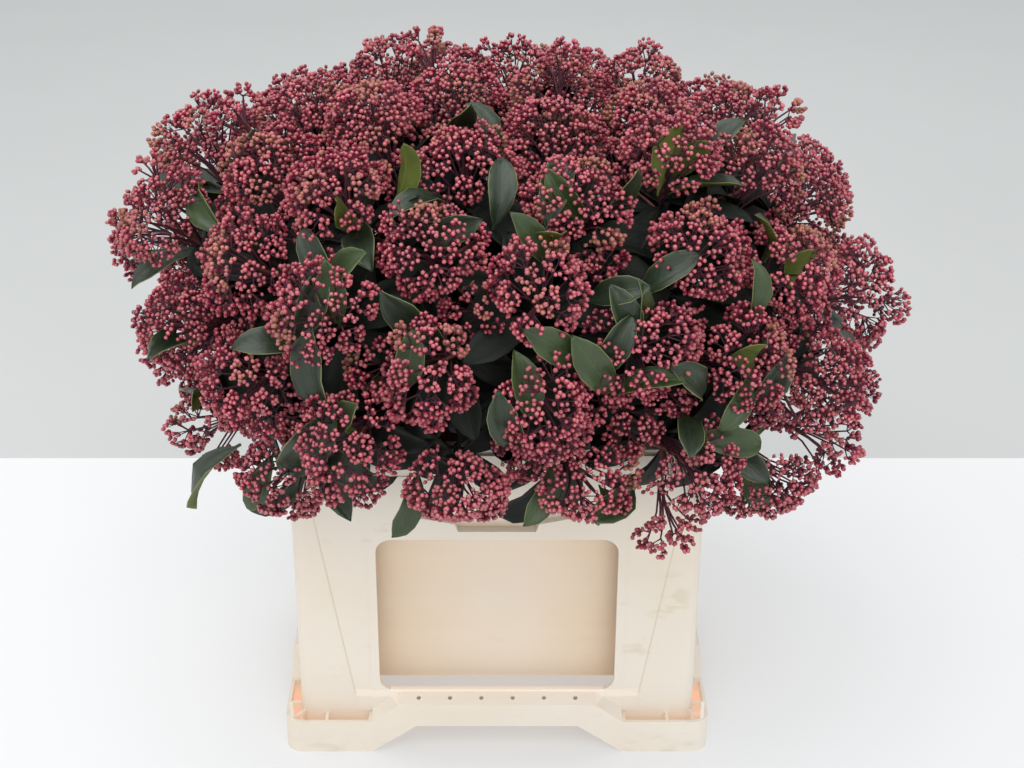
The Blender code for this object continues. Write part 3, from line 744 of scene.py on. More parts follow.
def spread(count, turn, spacing):
    # directions spread evenly over the crown: a spiral first, then neighbours push each other apart
    lowest = math.cos(crown["droop"])
    directions = []
    for index in range(count):
        height = 1 - (index + 0.5) / count * (1 - lowest)
        azimuth = index * goldenAngle + turn
        flat = math.sqrt(1 - height**2)
        directions.append(Vector((flat * math.cos(azimuth), flat * math.sin(azimuth), height)))
    for _ in range(crown["rounds"]):
        points = [crownPoint(direction) for direction in directions]
        for index, point in enumerate(points):
            push = Vector()
            for other in points:
                gap = point - other
                if 0 < gap.length < spacing:
                    push += gap.normalized() * (spacing - gap.length) * crown["push"]
            moved = perHalf(push) + directions[index]
            moved.normalize()
            if moved.z < lowest:
                flat = Vector((moved.x, moved.y)).normalized() * math.sin(crown["droop"])
                moved = Vector((flat.x, flat.y, lowest))
            directions[index] = moved
    return directions


class Head:
    # one panicle of buds: its middle, its axis and its radius, and how openly it grows, from 0 to 1
    def __init__(self, centre, axis, radius, openness=0.1):
        self.centre = centre
        self.axis = axis
        self.radius = radius
        self.openness = openness
        self.stem = self.parent = None
        self.free = False

    def below(self, share):
        return self.centre - self.axis * self.radius * share


def plannedHead(direction, chance):
    jitter, tilt = crown["headJitter"], crown["headTilt"]
    centre = crownPoint(direction, chance.uniform(-jitter, jitter))
    sway = Vector(chance.uniform(-tilt, tilt) for _ in range(3))
    facing = perHalf(direction).normalized() + sway + Vector((0, 0, crown["headRise"]))
    facing.z = max(facing.z, crown["lowestFacing"])
    return Head(centre, facing.normalized(), crown["headRadius"] * chance.uniform(*crown["headSizes"]))


class Stem:
    # a cut stem, and the heads that it carries
    def __init__(self, direction):
        self.direction = direction
        self.heads = []

    def settle(self):
        middle = sum((head.centre for head in self.heads), Vector()) / len(self.heads)
        fork = crown["middle"] + (middle - crown["middle"]) * stemLine["forkShare"]
        share = fromTop(self.direction) / crown["droop"]
        heading = Vector((self.direction.x, self.direction.y)).normalized() * share
        floorReach, neckReach = stemLine["floorReach"], stemLine["neckReach"]
        foot = Vector((heading.x * floorReach.x, heading.y * floorReach.y, stemLine["floor"]))
        neck = Vector((heading.x * neckReach.x, heading.y * neckReach.y, stemLine["neckHeight"]))
        self.line = risingLine(foot, neck, fork, (middle - fork).normalized())
        self.leaving = (self.line[-1] - self.line[-2]).normalized()
        self.fork = self.line[-1] + self.leaving * stemLine["forkLength"]


def risingLine(foot, neck, fork, leaving):
    rise = Vector((0, 0, 1))
    lower = foot + rise * (neck.z - foot.z) * stemLine["footRise"] + (neck - foot) * stemLine["footLean"]
    upper = fork - leaving * (fork - neck).length * stemLine["forkPull"] + rise * stemLine["forkRise"]
    return bezier(foot, lower, upper, fork, stemLine["points"])


def bezier(start, first, second, end, count):
    points = []
    for index in range(count):
        t = index / (count - 1)
        s = 1 - t
        points.append(start * s**3 + first * 3 * s * s * t + second * 3 * s * t * t + end * t**3)
    return points


def planCrown():
    chance = random.Random(crown["seed"])
    heads = [plannedHead(direction, chance) for direction in spread(**crown["heads"])]
    stems = [Stem(direction) for direction in spread(**crown["stems"])]
    for head in heads:
        head.stem = min(stems, key=lambda stem: (crownPoint(stem.direction) - head.centre).length)
        head.stem.heads.append(head)
    sideways, backwards = crown["exposed"]
    for head in heads:
        exposed = abs(head.axis.x) > sideways or head.axis.y > backwards
        head.openness = chance.uniform(*crown["openness"][exposed])
        nearest = min((other.centre - head.centre).length for other in heads if other is not head)
        head.radius = min(head.radius, nearest / 2 - crown["headGap"])
    stems = [stem for stem in stems if stem.heads]
    for stem in stems:
        stem.settle()
    return stems, heads


# the heads: each grows boughs from its stalk, twigs from the boughs and buds on the twigs

panicle = {
    "reach": 1.06,  # the outermost buds, in head radii
    "widening": 1.05,  # across the axis, so that neighbours grow into each other
    "uneven": 0.10,
    "cap": math.radians(102),
    "budArea": 34.5e-6,  # the part of the dome that one bud has
    "areaGrowth": 1.3,  # the power by which a widened dome has more room for buds
    "lumps": (0.86, 1.08),
    "hollowing": 0.62,
    "pull": 0.05,
    "deepEvery": 6,
    "deepShare": 0.86,
    "others": 0.90,  # no bud grows this far into another head, in its radii
    "othersReach": 0.042,
    "offLeaves": 0.0024,
    "looseness": 0.30,  # how far a bud strays from its even place, in bud spacings
    "seed": 31,
}

boughs = {
    "count": 15,
    "least": 5,
    "growth": 1.2,  # the power by which a larger head has more of them
    "cap": 0.92,
    "jitter": 0.12,
    "reach": 0.56,
    "leave": (0.92, 0.80),  # a bough leaves the stalk this far below the middle, and higher near the axis
    "bend": (0.10, 0.03),
    "radii": (0.00120, 0.00085),
}

twigs = {
    "reach": 0.80,
    "lengths": (0.94, 1.05),
    "buds": 6,
    "gather": 0.03,
    "radii": (0.00075, 0.00050),
    "sides": 3,
}

# a head that grows openly has fewer boughs and buds, less even ones, and buds drawn together
openHead = {"boughs": 0.25, "lumps": (-0.10, 0.06), "buds": 0.42, "pull": 0.42, "gather": 0.34}

# buds that would hang below this height are drawn up towards it and keep the give's share of their depth; the
# height rises with the distance from the wall, past its first part, and at the middle of the front by the
# notch's first number, over its second
hem = {"height": 0.292, "from": 0.030, "rise": 0.60, "notch": (0.018, 0.060), "give": 0.50}

bud = {
    "length": 0.0049,
    "width": 0.0040,
    "sizes": (0.78, 1.14),
    "reaches": (0.97, 1.03),
    "likeItsBough": 0.86,
    "seat": 0.0012,
    "stalkRadius": 0.00075,
    # the painted highlight covers each bud above this height of its ball
    "highlightFrom": 0.30,
}

# share of the boughs in each tone, crimson, rose, plum and tan, low and high on the crown
tones = {"low": (0.52, 0.32, 0.14, 0.02), "high": (0.32, 0.40, 0.04, 0.24), "from": 0.42, "to": 0.58}


def pickTone(chance, height):
    rise = min(max((height - tones["from"]) / (tones["to"] - tones["from"]), 0), 1)
    draw = chance.random()
    for tone, (low, high) in enumerate(zip(tones["low"], tones["high"])):
        draw -= low + (high - low) * rise
        if draw < 0:
            return tone
    return 0


def capPoints(count, cap, chance, jitter):
    # directions about +Z, evenly over a cap
    points = []
    turn = chance.uniform(0, 2 * math.pi)
    for index in range(count):
        drop = math.acos(1 - (index + 0.5) / count * (1 - math.cos(cap))) + chance.uniform(-jitter, jitter)
        azimuth = turn + index * goldenAngle + chance.uniform(-jitter, jitter) / max(math.sin(drop), 0.3)
        flat = math.sin(drop)
        points.append(Vector((flat * math.cos(azimuth), flat * math.sin(azimuth), math.cos(drop))))
    return points


def growPanicle(head, garden):
    chance = garden.chance
    turn = head.axis.to_track_quat("Z", "X").to_matrix()
    radius = head.radius * panicle["reach"]
    cap = panicle["cap"]
    wide = 1 + (panicle["widening"] - 1) * (1 - head.openness)
    uneven = 1 + chance.uniform(-panicle["uneven"], panicle["uneven"])
    stretch = Vector((wide * uneven, wide / uneven, 1))
    size = (head.radius / crown["headRadius"]) ** boughs["growth"]
    boughCount = round(boughs["count"] * size * (1 - openHead["boughs"] * head.openness))
    boughCount = max(boughs["least"], boughCount)
    made = []
    for direction in capPoints(boughCount, cap * boughs["cap"], chance, boughs["jitter"]):
        reach = chance.uniform(*panicle["lumps"]) * (1 + chance.uniform(*openHead["lumps"]) * head.openness)
        tone = pickTone(chance, head.centre.z)
        made.append({"direction": direction, "reach": reach, "tone": tone, "buds": []})
    area = 2 * math.pi * radius**2 * wide ** panicle["areaGrowth"] * (1 - math.cos(cap))
    budCount = int(area / panicle["budArea"] * (1 - openHead["buds"] * head.openness))
    pull = panicle["pull"] + openHead["pull"] * head.openness
    loose = panicle["looseness"] * math.sqrt(panicle["budArea"]) / radius
    for index, direction in enumerate(capPoints(budCount, cap, chance, loose)):
        bough = max(made, key=lambda one: one["direction"].dot(direction))
        away = bough["direction"].angle(direction)
        pulled = (direction + bough["direction"] * pull).normalized()
        reach = radius * bough["reach"] * (1 - panicle["hollowing"] * away**2)
        if index % panicle["deepEvery"] == 0:
            reach *= panicle["deepShare"]
        bough["buds"].append(Vector(p * s for p, s in zip(pulled, stretch)) * reach)
    for bough in made:
        if bough["buds"]:
            growBough(head, bough, turn, radius, garden)


def growBough(head, bough, turn, radius, garden):
    chance, harvest = garden.chance, garden.harvests[head.stem.group]
    direction = bough["direction"]
    below, nearAxis = boughs["leave"]
    outwards, inwards = boughs["bend"]
    leave = head.centre - head.axis * radius * (below - nearAxis * max(direction.z, 0) ** 2)
    tip = overHem(head.centre + turn @ (direction * radius * boughs["reach"]), head)
    bend = leave.lerp(tip, 0.5) + head.axis * radius * outwards - (turn @ direction) * radius * inwards
    side = direction.orthogonal().normalized()
    across = direction.cross(side)
    around = sorted(bough["buds"], key=lambda place: math.atan2(place.dot(across), place.dot(side)))
    groups = max(1, round(len(around) / twigs["buds"]))
    grown = 0
    for number in range(groups):
        group = around[number * len(around) // groups : (number + 1) * len(around) // groups]
        if not group:
            continue
        middle = sum(group, Vector()) / len(group)
        reach = chance.uniform(*twigs["lengths"])
        gather = twigs["gather"] + openHead["gather"] * head.openness
        twigTip = overHem(head.centre + turn @ (middle * twigs["reach"] * reach), head)
        tops = []
        for place in group:
            place = place.lerp(middle * (place.length / middle.length), gather)
            top = overHem(head.centre + turn @ (place * reach * chance.uniform(*bud["reaches"])), head)
            if not garden.taken(top, head):
                tops.append(top)
        if tops:
            harvest["twigs"].append(([tip, twigTip], twigs["radii"]))
        for top in tops:
            growBud(top, twigTip, bough["tone"], chance, harvest)
        grown += len(tops)
    if grown:
        harvest["twigs"].append(([leave, bend, tip], boughs["radii"]))


def overHem(place, head):
    # a place that would hang below the hem is drawn up towards it
    height = hem["height"] + hem["rise"] * max(fromWall(place) - hem["from"], 0)
    if place.y < 0:
        lift, half = hem["notch"]
        height += lift * math.exp(-((place.x / half) ** 2))
    if place.z < height and not head.free:
        place.z = height + (place.z - height) * hem["give"]
    return place


def growBud(top, root, tone, chance, harvest):
    facing = (top - root).normalized()
    size = chance.uniform(*bud["sizes"])
    foot = top - facing * bud["length"] * size
    tone = tone if chance.random() < bud["likeItsBough"] else pickTone(chance, top.z)
    harvest["buds"].append((foot, facing, size, tone))
    stalk = foot + facing * bud["seat"] - root
    harvest["pedicels"].append((root, stalk.normalized(), stalk.length))


# smaller heads fill some of the gaps between the planned ones, and leaves fill the others

gaps = {
    "neighbour": 0.135,
    "apart": 0.044,
    "least": 0.036,
    "sink": 0.018,
    "radius": (0.024, 0.031),
    "fill": 0.56,
    "tilt": 0.18,
    "openness": 0.2,
    "leafShare": 0.24,
    "roomForLeaf": 0.020,  # no small head comes this near to a leaf that the photo shows
    "seed": 57,
}


class Gap:
    # the middle of three neighbouring heads, and how far it is from the nearest head's middle
    def __init__(self, centre, heads, room):
        self.centre = centre
        self.heads = heads
        self.room = room
        self.out = sum((head.axis for head in heads), Vector()).normalized()


def findGaps(heads):
    found, reach = [], gaps["neighbour"]
    for index, first in enumerate(heads):
        near = [head for head in heads[index + 1 :] if (head.centre - first.centre).length < reach]
        for number, second in enumerate(near):
            for third in near[number + 1 :]:
                if (second.centre - third.centre).length > reach:
                    continue
                middle = (first.centre + second.centre + third.centre) / 3
                room = min((other.centre - middle).length for other in heads)
                apart = all((gap.centre - middle).length >= gaps["apart"] for gap in found)
                if room >= gaps["least"] and apart:
                    found.append(Gap(middle, (first, second, third), room))
    return found


def fillGaps(found, garden):
    # returns the small heads, and marks the gaps that leaves fill
    chance, (least, most) = garden.chance, gaps["radius"]
    small = []
    for gap in found:
        gap.leafy = chance.random() < gaps["leafShare"]
        place = gap.centre + gap.out * (least - gaps["sink"])
        if gap.leafy or garden.shownTree.find_nearest(place, gaps["roomForLeaf"])[0] is not None:
            continue
        radius = min(max(gap.room * gaps["fill"], least), most)
        axis = gap.out + Vector(chance.uniform(-gaps["tilt"], gaps["tilt"]) for _ in range(3))
        head = Head(gap.centre - gap.out * gaps["sink"], axis.normalized(), radius, gaps["openness"])
        head.parent = min(gap.heads, key=lambda head: (head.centre - gap.centre).length)
        head.stem = head.parent.stem
        small.append(head)
    return small


# the leaves' own shape, in a few variants from flat to curled

blade = {
    "length": 0.084,
    "width": 0.031,
    "thickness": 0.0009,
    "along": (0.0, 0.07, 0.20, 0.38, 0.57, 0.74, 0.86, 0.94, 1.0),
    "outline": (0.09, 0.11, 0.50, 0.84, 1.0, 0.89, 0.58, 0.25, 0.02),
    "across": (-1, -0.955, -0.5, 0, 0.5, 0.955, 1),
    "variants": 8,
    "curl": (0.15, 1.15),  # the flattest, and how much more the last one has
    "curlGrowth": 1.6,
    "fold": (0.35, 0.95),
    "wave": (0.02, 0.07),
    "ripples": 13,
    "ripplePhases": (2.4, 1),  # of the left and the right half
    "twist": (-0.4, 0.4),
    "seed": 91,
}


def bladeRows(curl, fold, wave, twist):
    # a leaf along +Y with its upper side towards +Z: both sides, as rows of places across it
    middles = []
    y = z = previous = 0.0
    for t in blade["along"]:
        angle = -curl * t ** blade["curlGrowth"]
        y += math.cos(angle) * (t - previous)
        z += math.sin(angle) * (t - previous)
        previous = t
        middles.append((t, y, z, angle))
    width = blade["width"] / blade["length"]
    sides = []
    for level in (0.5, -0.5):
        rows = []
        for (t, y, z, angle), share in zip(middles, blade["outline"]):
            row = []
            for u in blade["across"]:
                x = u * share * 0.5
                ripple = math.sin(t * blade["ripples"] + blade["ripplePhases"][u > 0])
                lift = fold * abs(x) - 0.5 * fold * x * x + wave * ripple * abs(u) * share + twist * x * t
                thick = 0 if abs(u) == 1 or t == 1 else level * blade["thickness"] / blade["length"]
                lift = lift * width + thick
                row.append(Vector((x * width, y - lift * math.sin(angle), z + lift * math.cos(angle))))
            rows.append(row)
        sides.append(rows)
    return sides


def makeBlade(name, finishes, rows):
    # a closed shape, whose two sides share their edge, with a UV map and a mark on the upper side's faces
    shape = bmesh.new()
    grid = shape.loops.layers.uv.new("UVMap")
    top = [[shape.verts.new(place) for place in row] for row in rows[0]]
    last = len(blade["across"]) - 1
    under = []
    for rowTop, row in zip(top, rows[1]):
        shared = range(last + 1) if rowTop is top[-1] else (0, last)
        under.append([rowTop[k] if k in shared else shape.verts.new(row[k]) for k in range(last + 1)])
    for side, upper in ((top, True), (under, False)):
        for r in range(len(side) - 1):
            for k in range(last):
                places = [(k, r), (k + 1, r), (k + 1, r + 1), (k, r + 1)]
                if not upper:
                    places.reverse()
                face = shape.faces.new([side[line][column] for column, line in places])
                face.smooth = True
                face.material_index = 2 if k in (0, last - 1) else 0 if upper else 1
                for loop, (column, line) in zip(face.loops, places):
                    loop[grid].uv = ((blade["across"][column] + 1) / 2, blade["along"][line])
    shape.faces.new(top[0] + under[0][-2:0:-1])
    bmesh.ops.recalc_face_normals(shape, faces=shape.faces)
    rims = [{row[0] for row in top}, {row[-1] for row in top}]
    for edge in shape.edges:
        edge.smooth = not any(set(edge.verts) <= rim for rim in rims)
    mesh = meshFrom(name, shape)
    for finish in ("leafDark", "leafUnder", "leafMargin"):
        mesh.materials.append(finishes[finish])
    marked = mesh.attributes.new("upper", "FLOAT", "FACE")
    marked.data.foreach_set("value", [float(face.material_index == 0) for face in mesh.polygons])
    return mesh


# what grows in the crown, and what it keeps off

keepOff = {
    "larger": Matrix.Diagonal((1.1, 1.03, 1.0, 1)),  # a leaf is tried this much larger against the container
    "containerTop": 0.34,
    "outer": 0.40,  # a leaf's outer part, as a share of its length,
    "mostInside": 0.20,  # may be this much inside the domes of buds
    "domeReach": 0.052,
    "dome": 1.04,
    "domeLow": -0.15,
    "bare": 0.62,  # a shown leaf has no buds in front of it past this share of its length,
    "clearance": 0.012,  # and this near to it
}


class Garden:
    # the leaf shapes, what has grown for each group of stems, and what leaves and buds keep off
    def __init__(self, finishes, groups):
        chance = random.Random(blade["seed"])
        self.group = bpy.data.collections.new("blades")
        self.meshes = []
        flattest, more = blade["curl"]
        for index in range(blade["variants"]):
            curl = flattest + more * index / (blade["variants"] - 1)
            rows = bladeRows(curl, *(chance.uniform(*blade[name]) for name in ("fold", "wave", "twist")))
            mesh = makeBlade(f"blade{index:02d}", finishes, rows)
            self.meshes.append(mesh)
            self.group.objects.link(bpy.data.objects.new(mesh.name, mesh))
        container = bmesh.new()
        for node in ("sleeve", "bucket"):
            container.from_mesh(frame["nodes"][node].data)
        self.container = BVHTree.FromBMesh(container)
        container.free()
        self.chance = random.Random(gaps["seed"])
        self.harvests = [{name: [] for name in pieceKinds} for _ in range(groups)]
        self.places, self.faces = [], []
        self.shownPlaces, self.shownFaces = [], []

    def count(self, kind):
        return sum(len(harvest[kind]) for harvest in self.harvests)

    def shell(self, place, variant):
        mesh = self.meshes[variant]
        return [place @ vert.co for vert in mesh.vertices], [tuple(face.vertices) for face in mesh.polygons]

    def clears(self, place, variant):
        # true where a leaf misses the container
        places, faces = self.shell(place @ keepOff["larger"], variant)
        if min(place.z for place in places) > keepOff["containerTop"]:
            return True
        return not self.container.overlap(BVHTree.FromPolygons(places, faces))

    def pierces(self, place, variant):
        # true where a good share of a leaf's outer part would be inside the domes of buds
        outer = [place @ vert.co for vert in self.meshes[variant].vertices if vert.co.y > keepOff["outer"]]
        return sum(self.underDome(spot) for spot in outer) > len(outer) * keepOff["mostInside"]

    def underDome(self, spot):
        for _, index, distance in self.near.find_range(spot, keepOff["domeReach"]):
            head = self.heads[index]
            height = (spot - head.centre).dot(head.axis)
            if distance < head.radius * keepOff["dome"] and height > keepOff["domeLow"] * head.radius:
                return True
        return False

    def know(self, heads):
        self.heads = heads
        self.near = KDTree(len(heads))
        for index, head in enumerate(heads):
            self.near.insert(head.centre, index)
        self.near.balance()

    def keep(self, place, variant, shown):
        places, faces = self.shell(place, variant)
        start = len(self.places)
        self.places += places
        self.faces += [tuple(index + start for index in face) for face in faces]
        if shown:
            start = len(self.shownPlaces)
            outer = [face for face in self.meshes[variant].polygons if face.center.y > keepOff["bare"]]
            self.shownPlaces += places
            self.shownFaces += [tuple(index + start for index in face.vertices) for face in outer]

    def taken(self, place, owner):
        # true in another head, at a leaf, and in front of a leaf that the photo shows
        for _, index, distance in self.near.find_range(place, panicle["othersReach"]):
            head = self.heads[index]
            if head is not owner and distance < head.radius * panicle["others"]:
                return True
        if self.leafTree.find_nearest(place, panicle["offLeaves"])[0] is not None:
            return True
        away = (place - camera["place"]).normalized()
        return self.shownTree.ray_cast(place, away, keepOff["clearance"])[0] is not None

    def clearAway(self):
        for mesh in self.meshes:
            bpy.data.meshes.remove(mesh)
        bpy.data.collections.remove(self.group)


# leaves: rings under each head, more that come up through the leafy gaps, and those along the stems

leaf = {
    "variants": (0, 7),
    "freshShare": 0.22,
    "deep": 0.024,  # a leaf whose tip stands out less than this lies deep in the crown and gets the painted shade
    "tones": {"top": 0.0, "under": 0.0, "fresh": 1.0, "deep": 2.0},
}

leafRings = {
    "rings": ((1, 52, 66), (3, 66, 88), (2, 90, 116)),  # how many, and the least and most lean in degrees
    "tries": 4,
    "turn": 0.3,
    "below": (0.80, 1.15),
    "length": (0.78, 1.06),
}

gapLeaves = {
    "missing": 0.15,
    "below": (0.70, 0.95),
    "reach": (0.010, 0.026),
    "sway": 0.010,
    "longer": 1.04,
    "length": (0.070, 0.098),
    "lean": 0.6,
}

# dark leaves along the stems inside the crown, which hide the far side
inner = {"lowest": 0.335, "perStem": 13, "turn": 0.3, "lean": (0.35, 1.15), "length": (0.86, 1.12)}

# leaves that hang below the lowest heads, over the container's rim
fringe = {
    "highest": 0.42,
    "front": -0.45,
    "count": 2,
    "tries": 2,
    "out": (0.30, 0.70),
    "aside": 0.6,
    "drop": (0.5, 1.0),
    "below": (0.3, 0.7),
    "length": (0.85, 1.08),
    "lean": 0.6,
}


def growLeaf(root, heading, faceUp, length, garden, group, side=None, variants=leaf["variants"]):
    # true where the leaf has room; a leaf that the photo shows has the side that shows
    across = heading.cross(faceUp).normalized()
    upper = across.cross(heading).normalized()
    turn = Matrix((across, heading, upper)).transposed().to_4x4()
    place = Matrix.Translation(root) @ turn @ Matrix.Diagonal((length, length, length, 1))
    variant = garden.chance.randint(*variants)
    if not garden.clears(place, variant) or (side is None and garden.pierces(place, variant)):
        return False
    garden.keep(place, variant, side is not None)
    fresh = garden.chance.random() < leaf["freshShare"]
    if side is None:
        side = "fresh" if fresh else "top"
        # leaves deep inside the crown get painted shade
        if standsOut(root + heading * length) < leaf["deep"]:
            side = "deep"
    ways = [place.col[column].xyz.normalized() for column in (1, 2)]
    garden.harvests[group]["leaves"].append((root, *ways, length, variant, leaf["tones"][side]))
    return True


def leaning(axis, outward, lean):
    # a leaf's heading, leaning from an axis, and the way that its upper side faces
    heading = (axis * math.cos(lean) + outward * math.sin(lean)).normalized()
    return heading, axis * math.sin(lean) - outward * math.cos(lean)


def growRings(head, garden):
    chance = garden.chance
    side = head.axis.orthogonal().normalized()
    turn = chance.uniform(0, 2 * math.pi)
    tried = 0
    for count, least, most in leafRings["rings"]:
        found = 0
        for _ in range(count * leafRings["tries"]):
            if found == count:
                break
            tried += 1
            azimuth = turn + tried * goldenAngle + chance.uniform(-leafRings["turn"], leafRings["turn"])
            lean = chance.uniform(math.radians(least), math.radians(most))
            outward = Matrix.Rotation(azimuth, 3, head.axis) @ side
            root = head.below(chance.uniform(*leafRings["below"]))
            length = blade["length"] * chance.uniform(*leafRings["length"])
            found += growLeaf(root, *leaning(head.axis, outward, lean), length, garden, head.stem.group)


def growGapLeaves(gap, garden):
    # two or three leaves from the heads round a gap come up through it and bend outwards
    chance, (least, most) = garden.chance, gapLeaves["length"]
    for head in gap.heads:
        if chance.random() < gapLeaves["missing"]:
            continue
        root = head.below(chance.uniform(*gapLeaves["below"]))
        reach = chance.uniform(*gapLeaves["reach"])
        sway = Vector(chance.uniform(-gapLeaves["sway"], gapLeaves["sway"]) for _ in range(3))
        goal = gap.centre + gap.out * reach + sway
        length = min(max((goal - root).length * gapLeaves["longer"], least), most)
        faceUp = head.axis - (gap.centre - head.centre).normalized() * gapLeaves["lean"]
        growLeaf(root, (goal - root).normalized(), faceUp, length, garden, head.stem.group)


def growInnerLeaves(stem, garden):
    chance = garden.chance
    line = [place for place in stem.line if place.z > inner["lowest"]] + [stem.fork]
    for number in range(inner["perStem"]):
        step = chance.uniform(0, len(line) - 1.001)
        root = line[int(step)].lerp(line[int(step) + 1], step % 1)
        azimuth = number * goldenAngle + chance.uniform(-inner["turn"], inner["turn"])
        outward = Vector((math.cos(azimuth), math.sin(azimuth), 0))
        ways = leaning(stem.leaving, outward, chance.uniform(*inner["lean"]))
        growLeaf(root, *ways, blade["length"] * chance.uniform(*inner["length"]), garden, stem.group)


def growFringe(head, garden):
    if head.centre.z > fringe["highest"] or head.axis.y < fringe["front"]:
        return
    chance = garden.chance
    outward = Vector((head.axis.x, head.axis.y, 0)).normalized()
    found = 0
    for _ in range(fringe["count"] * fringe["tries"]):
        if found == fringe["count"]:
            break
        aside = Vector((-outward.y, outward.x, 0)) * chance.uniform(-fringe["aside"], fringe["aside"])
        down = Vector((0, 0, -chance.uniform(*fringe["drop"])))
        heading = (outward * chance.uniform(*fringe["out"]) + aside + down).normalized()
        root = head.below(chance.uniform(*fringe["below"]))
        length = blade["length"] * chance.uniform(*fringe["length"])
        faceUp = outward + Vector((0, 0, fringe["lean"]))
        found += growLeaf(root, heading, faceUp, length, garden, head.stem.group)


# leaves and free heads that the photo shows, by their places in it, in pixels

shownLeaf = {
    "root": -0.004,  # how far its two ends stand out from the heads' dome
    "tip": 0.040,
    "longer": 1.05,
    "length": (0.062, 0.098),
    "past": 0.97,
    "sway": 0.6,
    "tries": 10,
    "step": 0.005,  # it moves out this far for each try
    "variants": {"under": (0, 4), "top": (3, 7), "fresh": (3, 7)},
}

shownLeaves = (
    # where the leaf starts, where it ends, and the side that shows
    ((395, 206), (424, 141), "under"), ((442, 203), (398, 186), "top"), ((354, 222), (318, 203), "under"),
    ((228, 236), (169, 182), "fresh"), ((440, 136), (474, 116), "under"), ((492, 152), (494, 90), "top"),
    ((262, 158), (257, 132), "under"), ((300, 335), (319, 289), "top"), ((337, 316), (326, 272), "fresh"),
    ((327, 282), (298, 240), "top"), ((336, 284), (334, 250), "fresh"), ((428, 240), (464, 226), "top"),
    ((662, 178), (674, 122), "under"), ((682, 170), (708, 139), "under"), ((703, 152), (722, 120), "top"),
    ((772, 178), (816, 136), "top"), ((768, 250), (782, 210), "top"), ((792, 280), (808, 242), "under"),
    ((746, 318), (779, 280), "fresh"), ((646, 290), (687, 251), "top"), ((598, 296), (636, 284), "top"),
    ((636, 328), (662, 295), "fresh"), ((546, 232), (564, 147), "top"), ((580, 218), (555, 195), "fresh"),
    ((541, 248), (560, 214), "under"), ((497, 216), (513, 160), "top"), ((544, 256), (526, 218), "fresh"),
    ((608, 210), (647, 187), "top"), ((332, 420), (286, 350), "top"), ((354, 428), (330, 411), "fresh"),
    ((294, 348), (250, 325), "top"), ((194, 352), (163, 322), "top"), ((206, 392), (167, 409), "top"),
    ((240, 446), (162, 495), "top"), ((268, 466), (243, 519), "fresh"), ((296, 484), (269, 525), "top"),
    ((274, 480), (318, 446), "top"), ((328, 446), (350, 487), "top"), ((326, 466), (338, 500), "top"),
    ((416, 480), (407, 542), "fresh"), ((552, 470), (541, 526), "fresh"), ((524, 446), (494, 424), "top"),
    ((532, 418), (529, 373), "fresh"), ((588, 364), (539, 338), "fresh"), ((614, 394), (583, 352), "fresh"),
    ((598, 372), (630, 333), "top"), ((610, 396), (669, 358), "fresh"), ((632, 340), (630, 303), "top"),
    ((750, 380), (753, 330), "under"), ((750, 376), (745, 421), "fresh"), ((754, 400), (792, 378), "top"),
    ((690, 437), (768, 446), "fresh"), ((732, 448), (764, 479), "top"), ((744, 466), (767, 514), "fresh"),
    ((602, 494), (616, 529), "top"), ((634, 488), (612, 515), "fresh"), ((686, 418), (698, 440), "top"),
    ((404, 384), (412, 362), "fresh"), ((700, 400), (714, 370), "top"),
)

shownHeads = (
    # its middle in the photo, its axis, radius and openness, and how far it stands out from the heads' dome
    {"at": (152, 166), "axis": (-0.3, 0.1, 1.0), "radius": 0.018, "openness": 1.0, "out": 0.055},
    {"at": (244, 118), "axis": (-0.4, 0.2, 1.0), "radius": 0.031, "openness": 0.9, "out": 0.030},
    {"at": (770, 118), "axis": (0.5, 0.2, 1.0), "radius": 0.032, "openness": 0.9, "out": 0.030},
    {"at": (138, 226), "axis": (-1.0, -0.1, 0.3), "radius": 0.030, "openness": 0.8, "out": 0.020},
    {"at": (430, 54), "axis": (-0.1, 0.3, 1.0), "radius": 0.027, "openness": 0.7, "out": 0.030},
    {"at": (562, 68), "axis": (0.1, 0.3, 1.0), "radius": 0.027, "openness": 0.7, "out": 0.030},
    {"at": (668, 518), "axis": (0.25, -0.6, -0.8), "radius": 0.032, "openness": 0.9, "out": 0.030},
    {"at": (822, 436), "axis": (1.0, -0.3, -0.2), "radius": 0.038, "openness": 0.7, "out": 0.020},
)

search = {"near": 0.85, "step": 0.004, "steps": 240}  # along a sight line, from its nearest place on


def onCrown(x, y, out):
    # the first place behind a pixel that stands out this far, or else the one that comes nearest to it
    line = sightLine(x, y)
    nearest, least = None, math.inf
    for step in range(search["steps"]):
        place = camera["place"] + line * (search["near"] + search["step"] * step)
        beyond = standsOut(place) - out
        if beyond < least:
            nearest, least = place, beyond
        if least <= 0:
            break
    return nearest


def growShownLeaves(heads, garden):
    grown, (shortest, longest) = 0, shownLeaf["length"]
    for start, end, side in shownLeaves:
        root, tip = onCrown(*start, shownLeaf["root"]), onCrown(*end, shownLeaf["tip"])
        heading = (tip - root).normalized()
        length = min(max((tip - root).length * shownLeaf["longer"], shortest), longest)
        root = tip - heading * length * shownLeaf["past"]
        outward = (tip - crown["middle"]).normalized()
        sway = Vector(garden.chance.uniform(-shownLeaf["sway"], shownLeaf["sway"]) for _ in range(3))
        faceUp = (camera["place"] - tip).normalized() * 0.5 + outward * 0.5 + sway
        if side == "under":
            faceUp = -faceUp
        group = min(heads, key=lambda head: (head.centre - root).length).stem.group
        for _ in range(shownLeaf["tries"]):
            if growLeaf(root, heading, faceUp, length, garden, group, side, shownLeaf["variants"][side]):
                grown += 1
                break
            root += Vector((outward.x, outward.y, 0)).normalized() * shownLeaf["step"]
    garden.shownTree = BVHTree.FromPolygons(garden.shownPlaces, garden.shownFaces)
    return grown


